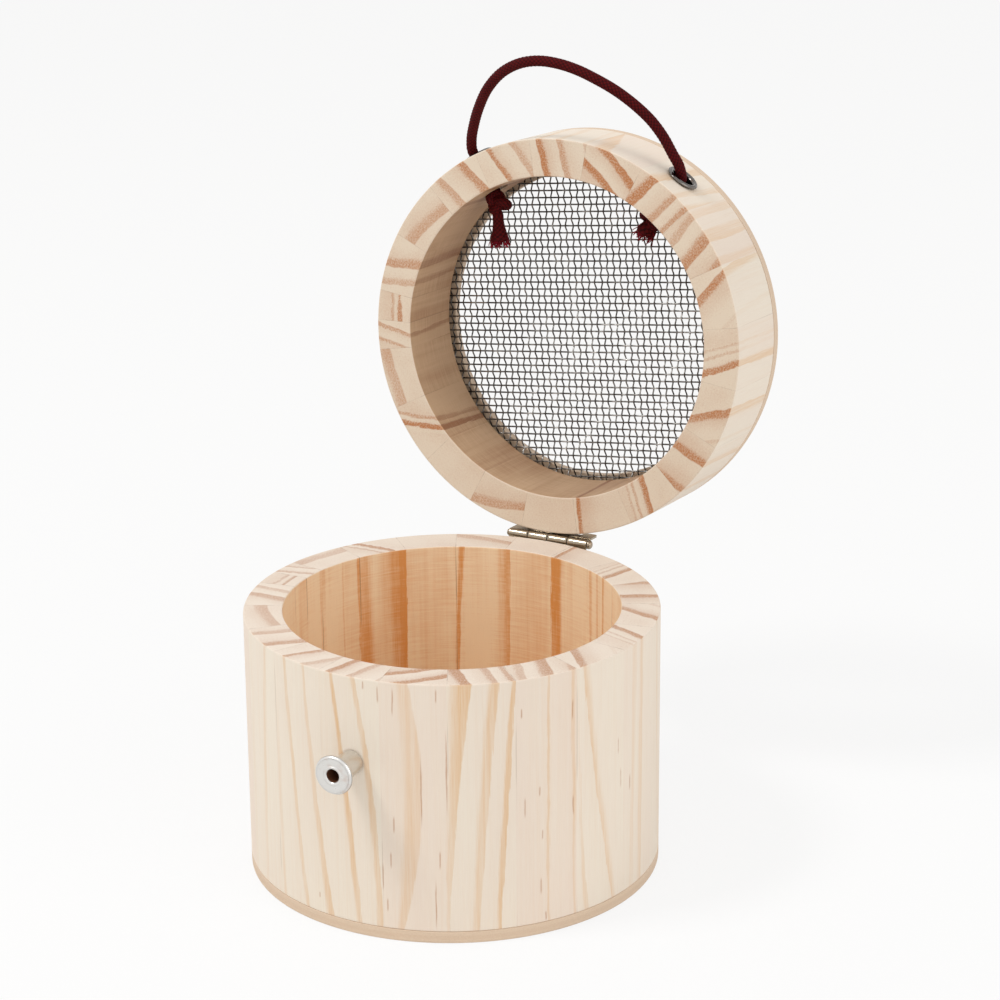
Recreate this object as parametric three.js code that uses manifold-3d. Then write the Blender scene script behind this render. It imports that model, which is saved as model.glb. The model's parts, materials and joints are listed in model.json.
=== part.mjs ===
// Round pine insect cage: a staved pine cup with a hinged lid that holds a wire mesh disc.
// Millimetres, +Z up. Origin at the centre of the base's underside.
// The catch stud faces -Y, the hinge is at +Y, and the lid is modelled open as it stands.
import * as THREE from 'three';
import { mergeVertices } from 'three/addons/utils/BufferGeometryUtils.js';
import Module from 'manifold-3d';

const wasm = await Module();
wasm.setup();

// Overall sizes of the cup
const OUTER_RADIUS = 50;
const WALL_THICKNESS = 9.4;
const CUP_HEIGHT = 64.8;
const BOTTOM_THICKNESS = 3;
const EDGE_BREAK = 0.5;

// Lid ring, mesh rebate and the ply ring that retains the mesh
const LID_RING_HEIGHT = 22.9;
const REBATE_WIDTH = 2.1;
const REBATE_DEPTH = 1.2;
const RETAINER_THICKNESS = 2.4;
const RETAINER_WIDTH = 10.5;
const LID_JOINT_GAP = 0.3;
const LID_OPEN_ANGLE = 95.2;

// Wire mesh disc: square openings, turned a little in the lid as it was laid in
const MESH_THICKNESS = 0.9;
const MESH_PITCH = 4.6;
const MESH_BAR_WIDTH = 1;
const MESH_BORDER = 0.9;
const MESH_TURN = -6.3;
const MESH_SMALLEST_GAP = 1.2;

// Clearances
const SEAT_GAP = 0.3;
const HOLE_CLEARANCE = 0.3;
const KNUCKLE_GAP = 0.3;
const PIN_CLEARANCE = 0.3;

// Butt hinge, screwed on a little to the right of the middle
const HINGE_OFFSET = 0.85;
const HINGE_LENGTH = 21.8;
const BARREL_RADIUS = 1.15;
const KNUCKLE_COUNT = 4;
const LEAF_THICKNESS = 0.6;
const LEAF_HEIGHT = 6;
const LEAF_CORNER_RADIUS = 0.8;
const PIN_RADIUS = 0.5;
const PIN_UPSET = 0.3;
const PIN_HEAD_RADIUS = 1.15;
const PIN_HEAD_LENGTH = 1;

// Countersunk wood screws of the hinge
const SCREW_END_MARGIN = 3.9;
const SCREW_ROW = 3.7;
const SCREW_HEAD_RADIUS = 1.4;
const SCREW_SHANK_RADIUS = 0.75;
const SCREW_LENGTH = 7;
const SCREW_POINT_LENGTH = 2;

// Catch stud: a hollow rivet with a mushroom head
const STUD_HEIGHT = 43.9;
const STUD_REACH = 9.4;
const STUD_HEAD_RADIUS = 4.8;
const STUD_HEAD_THICKNESS = 1.7;
const STUD_SHANK_RADIUS = 2.9;
const STUD_BORE_RADIUS = 1.6;
const STUD_BORE_DEPTH = 6;
const STUD_SPIGOT_RADIUS = 2;
const STUD_SPIGOT_LENGTH = 7;

// Eyelets through the lid ring
const EYELET_ANGLE = 34;
const EYELET_HEIGHT = 11;
const EYELET_BORE_RADIUS = 2.7;
const EYELET_METAL = 0.4;
const EYELET_FLANGE_RADIUS = 4.25;
const EYELET_FLANGE_HEIGHT = 0.75;

// Elastic cord and its two end knots
const CORD_RADIUS = 1.35;
const CORD_SIDES = 8;
const CORD_STEPS = 44;
const KNOT_RADIUS = 2.6;
const KNOT_WRAP_RADIUS = 1.9;
const TAIL_RADIUS = 1.6;
const TAIL_END_RADIUS = 2.7;
const LEFT_KNOT = { angle: -35, height: 9.8, tailLength: 11.5, tailLean: -5 };
const RIGHT_KNOT = { angle: 34, height: 11, tailLength: 7.2, tailLean: 27 };

// Facets round the large and the small turned pieces
const RING_SIDES = 72;
const SMALL_SIDES = 24;

const INNER_RADIUS = OUTER_RADIUS - WALL_THICKNESS;
const AXIS_Y = OUTER_RADIUS + SEAT_GAP + BARREL_RADIUS;
const AXIS_Z = CUP_HEIGHT + LID_JOINT_GAP / 2;
const radians = THREE.MathUtils.degToRad;

// Materials
function material(color, roughness, metalness) {
  return new THREE.MeshStandardMaterial({ color, roughness, metalness });
}
const pine = () => material(0xe8d3b4, 0.6, 0);
const ply = () => material(0xdcc09a, 0.65, 0);
const nickel = () => material(0xc9c6c0, 0.25, 1);
const darkNickel = () => material(0x8f8d8a, 0.3, 1);
const steelWire = () => material(0x8a8c8e, 0.35, 1);
const maroonElastic = () => material(0x4a1013, 0.85, 0);

// Closed geometry with only positions, its shared points merged
function welded(geometry) {
  const bare = geometry.clone();
  bare.deleteAttribute('normal');
  bare.deleteAttribute('uv');
  const merged = mergeVertices(bare, 1e-4);
  const index = merged.getIndex().array;
  const kept = [];
  for (let i = 0; i < index.length; i += 3) {
    const [a, b, c] = [index[i], index[i + 1], index[i + 2]];
    if (a !== b && b !== c && c !== a) kept.push(a, b, c);
  }
  merged.setIndex(kept);
  return merged;
}

function solid(geometry) {
  const closed = welded(geometry);
  return new wasm.Manifold(new wasm.Mesh({
    numProp: 3,
    vertProperties: new Float32Array(closed.getAttribute('position').array),
    triVerts: new Uint32Array(closed.getIndex().array),
  }));
}

function geometryOf(body) {
  const mesh = body.getMesh();
  const geometry = new THREE.BufferGeometry();
  geometry.setAttribute('position', new THREE.BufferAttribute(new Float32Array(mesh.vertProperties), 3));
  geometry.setIndex(new THREE.BufferAttribute(new Uint32Array(mesh.triVerts), 1));
  geometry.computeVertexNormals();
  return geometry;
}

// Turned form about +Z from [radius, height] points taken anticlockwise in the half section
function turned(profile, sides) {
  const points = profile.map(([radius, height]) => new THREE.Vector2(radius, height));
  return new THREE.LatheGeometry(points, sides).rotateX(Math.PI / 2);
}

function rod(radius, from, to, sides) {
  return turned([[0, from], [radius, from], [radius, to], [0, to]], sides);
}

// Turned ring whose four edges are broken by the given amounts
function ring(inner, outer, low, high, edge, sides = RING_SIDES) {
  return turned([
    [inner + edge, low], [outer - edge, low], [outer, low + edge], [outer, high - edge],
    [outer - edge, high], [inner + edge, high], [inner, high - edge], [inner, low + edge],
    [inner + edge, low],
  ], sides);
}

// Place a form made about +Z so that its +Z points radially out of the wall at an angle from -Y
function radial(geometry, angle, height) {
  return geometry.rotateX(Math.PI / 2).translate(0, -OUTER_RADIUS, 0)
    .rotateZ(radians(angle)).translate(0, 0, height);
}

function mesh(name, geometry, look) {
  const piece = new THREE.Mesh(geometry, look);
  piece.name = name;
  return piece;
}

// Hinge leaf in its own frame: barrel axis along X at the origin, plate towards -Z, wood at -Y
const knuckleLength = (HINGE_LENGTH - (KNUCKLE_COUNT - 1) * KNUCKLE_GAP) / KNUCKLE_COUNT;
const knuckleStart = (k) => -HINGE_LENGTH / 2 + k * (knuckleLength + KNUCKLE_GAP);
const plateTop = -(BARREL_RADIUS + KNUCKLE_GAP);

function leafOutline(first) {
  const outline = new THREE.Shape();
  const half = HINGE_LENGTH / 2;
  const low = -LEAF_HEIGHT;
  const corner = LEAF_CORNER_RADIUS;
  outline.moveTo(-half, plateTop);
  outline.lineTo(-half, low + corner);
  outline.absarc(-half + corner, low + corner, corner, Math.PI, 1.5 * Math.PI, false);
  outline.lineTo(half - corner, low);
  outline.absarc(half - corner, low + corner, corner, 1.5 * Math.PI, 2 * Math.PI, false);
  outline.lineTo(half, plateTop);
  for (let k = KNUCKLE_COUNT - 1; k >= 0; k -= 1) {
    if (k % 2 !== first) continue;
    const start = knuckleStart(k);
    outline.lineTo(start + knuckleLength, plateTop);
    outline.lineTo(start + knuckleLength, 0);
    outline.lineTo(start, 0);
    outline.lineTo(start, plateTop);
  }
  return outline;
}

// Screw positions on a leaf
const screwOut = HINGE_LENGTH / 2 - SCREW_END_MARGIN;
const screwXs = [-screwOut, screwOut];

function leaf(first) {
  const plate = new THREE.ExtrudeGeometry(leafOutline(first), {
    depth: LEAF_THICKNESS, bevelEnabled: false, curveSegments: 5,
  }).rotateX(Math.PI / 2).translate(0, -BARREL_RADIUS + LEAF_THICKNESS, 0);
  let body = solid(plate);
  for (let k = first; k < KNUCKLE_COUNT; k += 2) {
    const knuckle = rod(BARREL_RADIUS, 0, knuckleLength, SMALL_SIDES)
      .rotateY(Math.PI / 2).translate(knuckleStart(k), 0, 0);
    body = body.add(solid(knuckle));
  }
  const bore = rod(PIN_RADIUS + PIN_CLEARANCE, -HINGE_LENGTH, HINGE_LENGTH, SMALL_SIDES).rotateY(Math.PI / 2);
  body = body.subtract(solid(bore));
  const face = -BARREL_RADIUS + LEAF_THICKNESS;
  const sink = turned([
    [0, -2], [SCREW_SHANK_RADIUS + HOLE_CLEARANCE, -2],
    [SCREW_SHANK_RADIUS + HOLE_CLEARANCE, -LEAF_THICKNESS],
    [SCREW_HEAD_RADIUS + HOLE_CLEARANCE, 0], [SCREW_HEAD_RADIUS + HOLE_CLEARANCE, 1], [0, 1],
  ], SMALL_SIDES).rotateX(-Math.PI / 2);
  for (const x of screwXs) {
    body = body.subtract(solid(sink.clone().translate(x, face, -SCREW_ROW)));
  }
  return geometryOf(body);
}

// Wood screw in the leaf's frame, head flush with the leaf, point towards the wood
function screw(x) {
  const head = LEAF_THICKNESS;
  return turned([
    [0, -SCREW_LENGTH], [SCREW_SHANK_RADIUS, -SCREW_LENGTH + SCREW_POINT_LENGTH],
    [SCREW_SHANK_RADIUS, -head], [SCREW_HEAD_RADIUS, 0], [0, 0],
  ], 16).rotateX(-Math.PI / 2).translate(x, -BARREL_RADIUS + LEAF_THICKNESS, -SCREW_ROW);
}

// Pilot hole that the screw stands in
function pilot(x) {
  return rod(SCREW_SHANK_RADIUS + HOLE_CLEARANCE, -SCREW_LENGTH - HOLE_CLEARANCE, 0, 16)
    .rotateX(-Math.PI / 2).translate(x, -BARREL_RADIUS + LEAF_THICKNESS, -SCREW_ROW);
}

// The lid's copy of anything in the leaf frame is its mirror image in the joint plane
const mirrored = (geometry) => geometry.rotateY(Math.PI);

// Cup wall with its pilot holes and the stud's socket
const socket = radial(rod(STUD_SPIGOT_RADIUS + HOLE_CLEARANCE, -STUD_SPIGOT_LENGTH - HOLE_CLEARANCE, 3, 16),
  0, STUD_HEIGHT);
let cup = solid(ring(INNER_RADIUS, OUTER_RADIUS, BOTTOM_THICKNESS, CUP_HEIGHT, EDGE_BREAK)).subtract(solid(socket));
for (const x of screwXs) {
  cup = cup.subtract(solid(pilot(x).translate(HINGE_OFFSET, AXIS_Y, AXIS_Z)));
}

// Bottom plate, flush with the wall outside
const bottom = turned([
  [0, 0], [OUTER_RADIUS - EDGE_BREAK, 0], [OUTER_RADIUS, EDGE_BREAK], [OUTER_RADIUS, BOTTOM_THICKNESS - EDGE_BREAK / 2],
  [OUTER_RADIUS - EDGE_BREAK / 2, BOTTOM_THICKNESS], [0, BOTTOM_THICKNESS],
], RING_SIDES);

// Catch stud: spigot in the wall, shank, and a rounded head with a blind bore and a rolled lip
const headBack = STUD_REACH - STUD_HEAD_THICKNESS;
const stud = turned([
  [0, -STUD_SPIGOT_LENGTH], [STUD_SPIGOT_RADIUS, -STUD_SPIGOT_LENGTH], [STUD_SPIGOT_RADIUS, SEAT_GAP],
  [STUD_SHANK_RADIUS, SEAT_GAP], [STUD_SHANK_RADIUS, headBack - 0.5], [STUD_SHANK_RADIUS + 0.5, headBack],
  [STUD_HEAD_RADIUS - 0.4, headBack + 0.1], [STUD_HEAD_RADIUS, headBack + 0.6],
  [STUD_HEAD_RADIUS - 0.15, STUD_REACH - 0.6], [STUD_HEAD_RADIUS - 0.8, STUD_REACH - 0.15],
  [STUD_HEAD_RADIUS - 1.8, STUD_REACH], [STUD_BORE_RADIUS + 0.6, STUD_REACH],
  [STUD_BORE_RADIUS + 0.15, STUD_REACH - 0.3], [STUD_BORE_RADIUS, STUD_REACH - 0.8],
  [STUD_BORE_RADIUS, STUD_REACH - STUD_BORE_DEPTH], [0, STUD_REACH - STUD_BORE_DEPTH],
], SMALL_SIDES);

// Lid ring in the lid's frame: closed position, height counted from its rim
const rebateRadius = INNER_RADIUS + REBATE_WIDTH;
const rebateFloor = LID_RING_HEIGHT - REBATE_DEPTH;
const barrelHole = EYELET_BORE_RADIUS + EYELET_METAL + HOLE_CLEARANCE;
let lidRing = solid(turned([
  [INNER_RADIUS + EDGE_BREAK, 0], [OUTER_RADIUS - EDGE_BREAK, 0], [OUTER_RADIUS, EDGE_BREAK],
  [OUTER_RADIUS, LID_RING_HEIGHT - EDGE_BREAK / 2], [OUTER_RADIUS - EDGE_BREAK / 2, LID_RING_HEIGHT],
  [rebateRadius, LID_RING_HEIGHT], [rebateRadius, rebateFloor], [INNER_RADIUS, rebateFloor],
  [INNER_RADIUS, EDGE_BREAK], [INNER_RADIUS + EDGE_BREAK, 0],
], RING_SIDES));
for (const side of [-1, 1]) {
  const hole = rod(barrelHole, -WALL_THICKNESS - 2, 2, SMALL_SIDES);
  lidRing = lidRing.subtract(solid(radial(hole, side * EYELET_ANGLE, EYELET_HEIGHT)));
}
for (const x of screwXs) {
  const hole = mirrored(pilot(x)).translate(HINGE_OFFSET, AXIS_Y, -LID_JOINT_GAP / 2);
  lidRing = lidRing.subtract(solid(hole));
}

// Ply ring glued over the mesh
const retainerLow = LID_RING_HEIGHT + SEAT_GAP;
const retainer = ring(OUTER_RADIUS - RETAINER_WIDTH, OUTER_RADIUS, retainerLow,
  retainerLow + RETAINER_THICKNESS, EDGE_BREAK / 2);

// Wire mesh disc: a round blank pierced by a turned grid of square openings
const meshRadius = rebateRadius - SEAT_GAP;
function pierced() {
  const reach = meshRadius - MESH_BORDER;
  const opening = MESH_PITCH - MESH_BAR_WIDTH;
  const count = Math.ceil(meshRadius / MESH_PITCH);
  const cells = [];
  for (let i = -count; i < count; i += 1) {
    for (let j = -count; j < count; j += 1) {
      const x = (i + 0.5) * MESH_PITCH;
      const y = (j + 0.5) * MESH_PITCH;
      const nearest = Math.hypot(Math.abs(x) - opening / 2, Math.abs(y) - opening / 2);
      if (nearest > reach - MESH_SMALLEST_GAP) continue;
      cells.push(new THREE.BoxGeometry(opening, opening, 3 * MESH_THICKNESS).translate(x, y, 0));
    }
  }
  const blank = solid(rod(meshRadius, 0, MESH_THICKNESS, RING_SIDES));
  const within = solid(rod(reach, -MESH_THICKNESS, 2 * MESH_THICKNESS, RING_SIDES));
  let grid = solid(cells[0]);
  for (const cell of cells.slice(1)) {
    grid = grid.add(solid(cell));
  }
  return geometryOf(blank.subtract(within.intersect(grid))).rotateZ(radians(MESH_TURN)).translate(0, 0, rebateFloor + SEAT_GAP);
}

// Eyelet: a thin barrel through the wall with a rolled flange outside
const flangeTop = SEAT_GAP + EYELET_FLANGE_HEIGHT;
const eyeletEnd = -WALL_THICKNESS + 2 * SEAT_GAP;
const barrelOuter = EYELET_BORE_RADIUS + EYELET_METAL;
function eyelet(side) {
  const crest = (EYELET_BORE_RADIUS + EYELET_FLANGE_RADIUS) / 2;
  return radial(turned([
    [EYELET_BORE_RADIUS, eyeletEnd], [barrelOuter, eyeletEnd], [barrelOuter, SEAT_GAP],
    [EYELET_FLANGE_RADIUS, SEAT_GAP], [EYELET_FLANGE_RADIUS - 0.15, flangeTop - 0.3],
    [crest + 0.4, flangeTop], [crest - 0.4, flangeTop], [EYELET_BORE_RADIUS + 0.2, flangeTop - 0.35],
    [EYELET_BORE_RADIUS, SEAT_GAP - 0.2], [EYELET_BORE_RADIUS, eyeletEnd],
  ], SMALL_SIDES), side * EYELET_ANGLE, EYELET_HEIGHT);
}

// Elastic cord, knot to knot: through one eyelet, round the free arch and in at the other
const CORD_POINTS = [
  [-23, -34.1, 11], [-25.2, -37.3, 11], [-27.9, -40.8, 10.6], [-29, -43.4, 9.4], [-28.6, -46.4, 7.9],
  [-26.8, -50.4, 5.3], [-23.4, -55.8, 1.2], [-18.9, -61.4, -3], [-13.5, -66, -6.2], [-7.7, -68.8, -8.1],
  [-2.3, -69.8, -8.8], [2.7, -69.5, -8.7], [7.4, -68.3, -7.9], [11.9, -66.3, -6.5], [16.2, -63.8, -4.6],
  [20.2, -60.5, -2.1], [23.4, -56.7, 0.9], [25.5, -52.5, 4.1], [26.9, -48.1, 7.1], [27.9, -44.7, 9.4],
  [27.8, -41.2, 11], [25.2, -37.3, 11], [23, -34.1, 11],
];
function cord() {
  const section = new THREE.Shape();
  for (let k = 0; k < CORD_SIDES; k += 1) {
    const turn = 2 * Math.PI * k / CORD_SIDES;
    const point = [CORD_RADIUS * Math.cos(turn), CORD_RADIUS * Math.sin(turn)];
    if (k === 0) section.moveTo(...point);
    else section.lineTo(...point);
  }
  const route = new THREE.CatmullRomCurve3(CORD_POINTS.map((p) => new THREE.Vector3(...p)));
  return new THREE.ExtrudeGeometry(section, { steps: CORD_STEPS, bevelEnabled: false, extrudePath: route });
}

// End knot: two wraps over a core, with the cut and frayed tail hanging down as the open lid shows it
const knotPlace = INNER_RADIUS - SEAT_GAP - KNOT_RADIUS;
function knot(side, { angle, height, tailLength, tailLean }) {
  const wrap = () => new THREE.TorusGeometry(KNOT_WRAP_RADIUS, CORD_RADIUS, 8, 14);
  const core = new THREE.SphereGeometry(KNOT_RADIUS, 14, 9);
  const tail = turned([
    [0, -tailLength], [TAIL_END_RADIUS, -tailLength], [TAIL_RADIUS, -tailLength * 0.7], [TAIL_RADIUS, 0], [0, 0],
  ], 12).rotateY(radians(tailLean));
  const body = solid(core)
    .add(solid(wrap().rotateX(Math.PI / 2).rotateZ(radians(18))))
    .add(solid(wrap().rotateX(Math.PI / 2).rotateZ(radians(18 - 50 * side)).rotateY(radians(25))))
    .add(solid(tail));
  const hang = radians(LID_OPEN_ANGLE);
  return geometryOf(body).rotateX(hang)
    .translate(knotPlace * Math.sin(radians(angle)), -knotPlace * Math.cos(radians(angle)), height);
}

// Hinge pin with a domed head at the right end, upset a little at the left
const pinEnd = HINGE_LENGTH / 2 + KNUCKLE_GAP;
const pin = turned([
  [0, -pinEnd - PIN_UPSET], [PIN_RADIUS + PIN_UPSET, -pinEnd - PIN_UPSET], [PIN_RADIUS + PIN_UPSET, -pinEnd],
  [PIN_RADIUS, -pinEnd],
  [PIN_RADIUS, pinEnd], [PIN_HEAD_RADIUS, pinEnd], [PIN_HEAD_RADIUS, pinEnd + PIN_HEAD_LENGTH * 0.5],
  [PIN_HEAD_RADIUS * 0.7, pinEnd + PIN_HEAD_LENGTH * 0.9], [0, pinEnd + PIN_HEAD_LENGTH],
], SMALL_SIDES).rotateY(Math.PI / 2);

// Assembly: the cup stands still, the lid group is turned open about the hinge axis
const baseHinge = new THREE.Group();
baseHinge.position.set(HINGE_OFFSET, AXIS_Y, AXIS_Z);
baseHinge.add(
  mesh('hinge_leaf_base', leaf(1), nickel()),
  mesh('hinge_pin', pin, nickel()),
  mesh('hinge_screw_base_left', screw(screwXs[0]), nickel()),
  mesh('hinge_screw_base_right', screw(screwXs[1]), nickel()),
);

const lid = new THREE.Group();
lid.position.set(0, -AXIS_Y, LID_JOINT_GAP / 2);
lid.add(
  mesh('lid_ring', geometryOf(lidRing), pine()),
  mesh('mesh_retainer', retainer, ply()),
  mesh('wire_mesh', pierced(), steelWire()),
  mesh('eyelet_left', eyelet(-1), darkNickel()),
  mesh('eyelet_right', eyelet(1), darkNickel()),
  mesh('handle_cord', cord(), maroonElastic()),
  mesh('cord_knot_left', knot(-1, LEFT_KNOT), maroonElastic()),
  mesh('cord_knot_right', knot(1, RIGHT_KNOT), maroonElastic()),
);

const lidHinge = new THREE.Group();
lidHinge.position.set(HINGE_OFFSET, 0, 0);
lidHinge.add(
  mesh('hinge_leaf_lid', mirrored(leaf(1)), nickel()),
  mesh('hinge_screw_lid_left', mirrored(screw(screwXs[1])), nickel()),
  mesh('hinge_screw_lid_right', mirrored(screw(screwXs[0])), nickel()),
);

const swing = new THREE.Group();
swing.position.set(0, AXIS_Y, AXIS_Z);
swing.rotation.x = radians(-LID_OPEN_ANGLE);
swing.add(lid, lidHinge);

const group = new THREE.Group();
group.add(
  mesh('base_wall', geometryOf(cup), pine()),
  mesh('bottom_plate', bottom, ply()),
  mesh('catch_stud', radial(stud, 0, STUD_HEIGHT), nickel()),
  baseHinge,
  swing,
);

export default group;
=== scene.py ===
"""Insect cage: a staved pine cup with a hinged lid, a disc of wire cloth and an elastic carrying cord.

Lengths are in metres. Pieces are made where they rest, with the lid open. Angles round the cage are
counted from the front, -Y, towards +X.
"""

import json
import math

import bmesh
import bpy
import numpy as np
from bpy.props import FloatProperty, FloatVectorProperty, IntProperty, PointerProperty
from mathutils import Matrix, Vector


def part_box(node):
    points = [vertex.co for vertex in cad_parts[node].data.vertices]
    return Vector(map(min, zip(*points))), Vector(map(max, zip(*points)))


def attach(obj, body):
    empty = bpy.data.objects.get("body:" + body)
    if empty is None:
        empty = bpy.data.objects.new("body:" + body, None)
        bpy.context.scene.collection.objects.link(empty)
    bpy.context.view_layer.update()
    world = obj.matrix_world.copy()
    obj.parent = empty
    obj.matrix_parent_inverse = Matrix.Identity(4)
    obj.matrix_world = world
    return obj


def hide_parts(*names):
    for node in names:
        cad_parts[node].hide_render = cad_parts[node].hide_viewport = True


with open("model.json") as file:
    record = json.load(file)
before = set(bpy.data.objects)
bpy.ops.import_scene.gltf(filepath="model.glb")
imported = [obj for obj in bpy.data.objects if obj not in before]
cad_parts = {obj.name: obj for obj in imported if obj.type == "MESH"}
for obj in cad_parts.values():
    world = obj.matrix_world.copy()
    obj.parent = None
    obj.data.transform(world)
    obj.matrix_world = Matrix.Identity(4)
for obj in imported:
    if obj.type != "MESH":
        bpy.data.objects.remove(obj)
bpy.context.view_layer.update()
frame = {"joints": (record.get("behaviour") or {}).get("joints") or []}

bl_info = {
    "name": "Insect cage",
    "version": (1, 0, 0),
    "blender": (4, 5, 0),
    "location": "View3D > Sidebar > Insect cage",
    "description": "Dresses the insect cage in pine, ply, wire cloth, nickel and elastic cord",
    "category": "Object",
}

MM = 0.001
CUP_LOW, CUP_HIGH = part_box("base_wall")
JOINT = frame["joints"][0]
_, HINGE_Y, HINGE_Z = JOINT["pos_m"]
OPEN = math.radians(JOINT["range_deg"][1])
HALF_JOINT_GAP = HINGE_Z - CUP_HIGH.z


def linear(*levels):
    """The linear colour of 8-bit sRGB levels, by the sRGB curve."""
    level = np.array(levels) / 255
    low, high = level / 12.92, ((level + 0.055) / 1.055) ** 2.4
    return (*np.where(level <= 0.04045, low, high).tolist(), 1.0)


def length(label, text, millimetres):
    """A setting for a length, with its default in millimetres."""
    metres = millimetres * MM
    return FloatProperty(name=label, description=text, default=metres, unit="LENGTH", precision=5)


def angle(label, text, degrees):
    """A setting for an angle, with its default in degrees."""
    return FloatProperty(name=label, description=text, default=math.radians(degrees), subtype="ANGLE")


def colour(label, text, *levels):
    """A setting for a colour, with its default as 8-bit sRGB levels."""
    shade = linear(*levels)
    return FloatVectorProperty(name=label, description=text, default=shade, size=4, subtype="COLOR")


class BlankSettings(bpy.types.PropertyGroup):
    """The staved pine blank that the cup and the lid are cut from, and its ply plates"""

    radius: length("Outer radius", "Outside of the cup and the lid", CUP_HIGH.x / MM)
    wall: length("Wall", "Thickness of the pine wall", 9.4)
    ease: length("Eased edge", "How far the turned edges are sanded back", 0.4)
    lid_height: length("Lid height", "Height of the lid's pine ring", 22.9)
    rebate_width: length("Rebate width", "Width of the rebate that the wire cloth lies in", 2.1)
    rebate_depth: length("Rebate depth", "Depth of that rebate", 1.2)
    ring_width: length("Ply ring width", "Width of the ply ring over the wire cloth", 10.5)
    ring_thickness: length("Ply ring thickness", "Thickness of that ring", 2.4)
    seat: length("Seat", "Gap between pieces that are glued or pressed together", 0.3)
    cup_turn: angle("Cup turn", "How far the cup's staves are out of line with the lid's", 0.2)


class WireSettings(bpy.types.PropertyGroup):
    """The wire cloth"""

    pitch: length("Pitch", "Distance between wires", 1.814)
    thickness: length("Wire", "Diameter of a wire", 0.42)
    warp_crimp: length("Warp crimp", "Height of the waves of the upright wires", 0.46)
    weft_crimp: length("Weft crimp", "Height of the waves of the level wires", 0.05)
    turn: angle("Turn", "How far the cloth is turned in the lid", -6.3)


class CordSettings(bpy.types.PropertyGroup):
    """The elastic cord and its knots"""

    diameter: length("Diameter", "Diameter of the relaxed cord", 2.7)
    drawn: length("Drawn diameter", "Diameter of the cord where a knot draws it tight", 2.5)
    lay: length("Lay", "Length in which a braid strand goes once round", 9)
    strands: IntProperty(name="Strands", description="Braid strands each way", default=8, min=3)
    relief: length("Relief", "Depth between two braid strands", 0.13)


class HardwareSettings(bpy.types.PropertyGroup):
    """The hinge, the stud and the eyelets"""

    hinge_offset: length("Hinge offset", "The hinge's place to the right of the middle", 0.85)
    hinge_length: length("Hinge length", "Length of the barrel", 21.8)
    barrel: length("Barrel radius", "Outer radius of the knuckles", 1.15)
    leaf: length("Leaf", "Thickness of the rolled leaf", 0.55)
    leaf_height: length("Leaf height", "From the barrel's axis to the foot of a leaf", 6)
    screw_spacing: length("Screw spacing", "Distance between a leaf's screws", 14)
    screw_row: length("Screw row", "From the barrel's axis to the screws", 3.7)
    screw_head: length("Screw head", "Radius of a screw's head", 1.4)
    pin: length("Pin", "Radius of the hinge pin", 0.5)
    stud_height: length("Stud height", "Height of the stud over the floor", 43.9)
    eyelet_angle: angle("Eyelet angle", "From the front to each eyelet", 34)
    eyelet_height: length("Eyelet height", "From the lid's rim to the eyelets", 11)


class ColourSettings(bpy.types.PropertyGroup):
    """Colours of the finishes"""

    cream: colour("Cream", "Early wood along the grain", 239, 228, 211)
    blush: colour("Blush", "Early wood of the pinker staves", 236, 217, 201)
    tan: colour("Tan", "Late wood along the grain", 225, 182, 132)
    # The cup's bore colours are warmer than its outside: partly the wood's own tone, partly painted warm
    # light bounced round inside the cup.
    cup_bore: colour("Cup bore", "Early wood of the cup's bored inside", 248, 222, 186)
    cup_bore_late: colour("Cup bore late", "Late wood there", 220, 150, 82)
    # Painted shade: the lid's bore colours are darker than the cup's, for the shade on the lid's inner
    # wall.
    lid_bore: colour("Lid bore", "Early wood of the lid's bored inside", 204, 170, 134)
    lid_bore_late: colour("Lid bore late", "Late wood there", 150, 100, 62)
    cup_end: colour("Cup end", "Early wood on the end grain of the cup", 234, 220, 204)
    cup_end_late: colour("Cup end late", "Late wood there", 190, 144, 112)
    # Painted shade: the lid's end-grain colours are darker than the cup's, for the shade on the lid's
    # rim, which faces the camera.
    lid_end: colour("Lid end", "Early wood on the end grain of the lid", 223, 206, 184)
    lid_end_late: colour("Lid end late", "Late wood there", 180, 116, 68)
    fleck: colour("Fleck", "Resin canals and pores", 178, 116, 68)
    glue: colour("Glue", "Glue lines between the staves", 132, 100, 74)
    veneer: colour("Veneer", "Face of the ply", 224, 201, 176)
    ply_core: colour("Ply core", "Edge of the ply's core", 196, 162, 132)
    nickel: colour("Nickel", "Bright nickel plate", 222, 220, 216)
    dark_nickel: colour("Dark nickel", "Plate of the eyelets", 118, 114, 110)
    # Painted reflection: the hinge plate is coloured darker and browner than bright nickel, for the
    # shaded wood that its barrel reflects.
    hinge_nickel: colour("Hinge nickel", "Plate of the hinge", 164, 152, 134)
    # Painted shade: the stud's bore is coloured dark brown and not metallic, in place of the shade inside
    # the hole.
    stud_bore_painted_shade: colour("Soot", "The dark bore of the stud", 112, 72, 50)
    # Painted reflection: the wire's colour is far darker than bare steel, for the dark surroundings that
    # the wires reflect.
    wire: colour("Wire", "Drawn steel wire", 86, 81, 77)
    maroon: colour("Maroon", "Crowns of the braid", 96, 14, 15)
    # Painted shade: the grooves between the braid strands are coloured darker than the crowns.
    maroon_shade: colour("Maroon shade", "Between the braid strands", 40, 4, 5)
    thread: colour("Thread", "Loose threads of the cut ends", 150, 30, 50)


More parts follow.
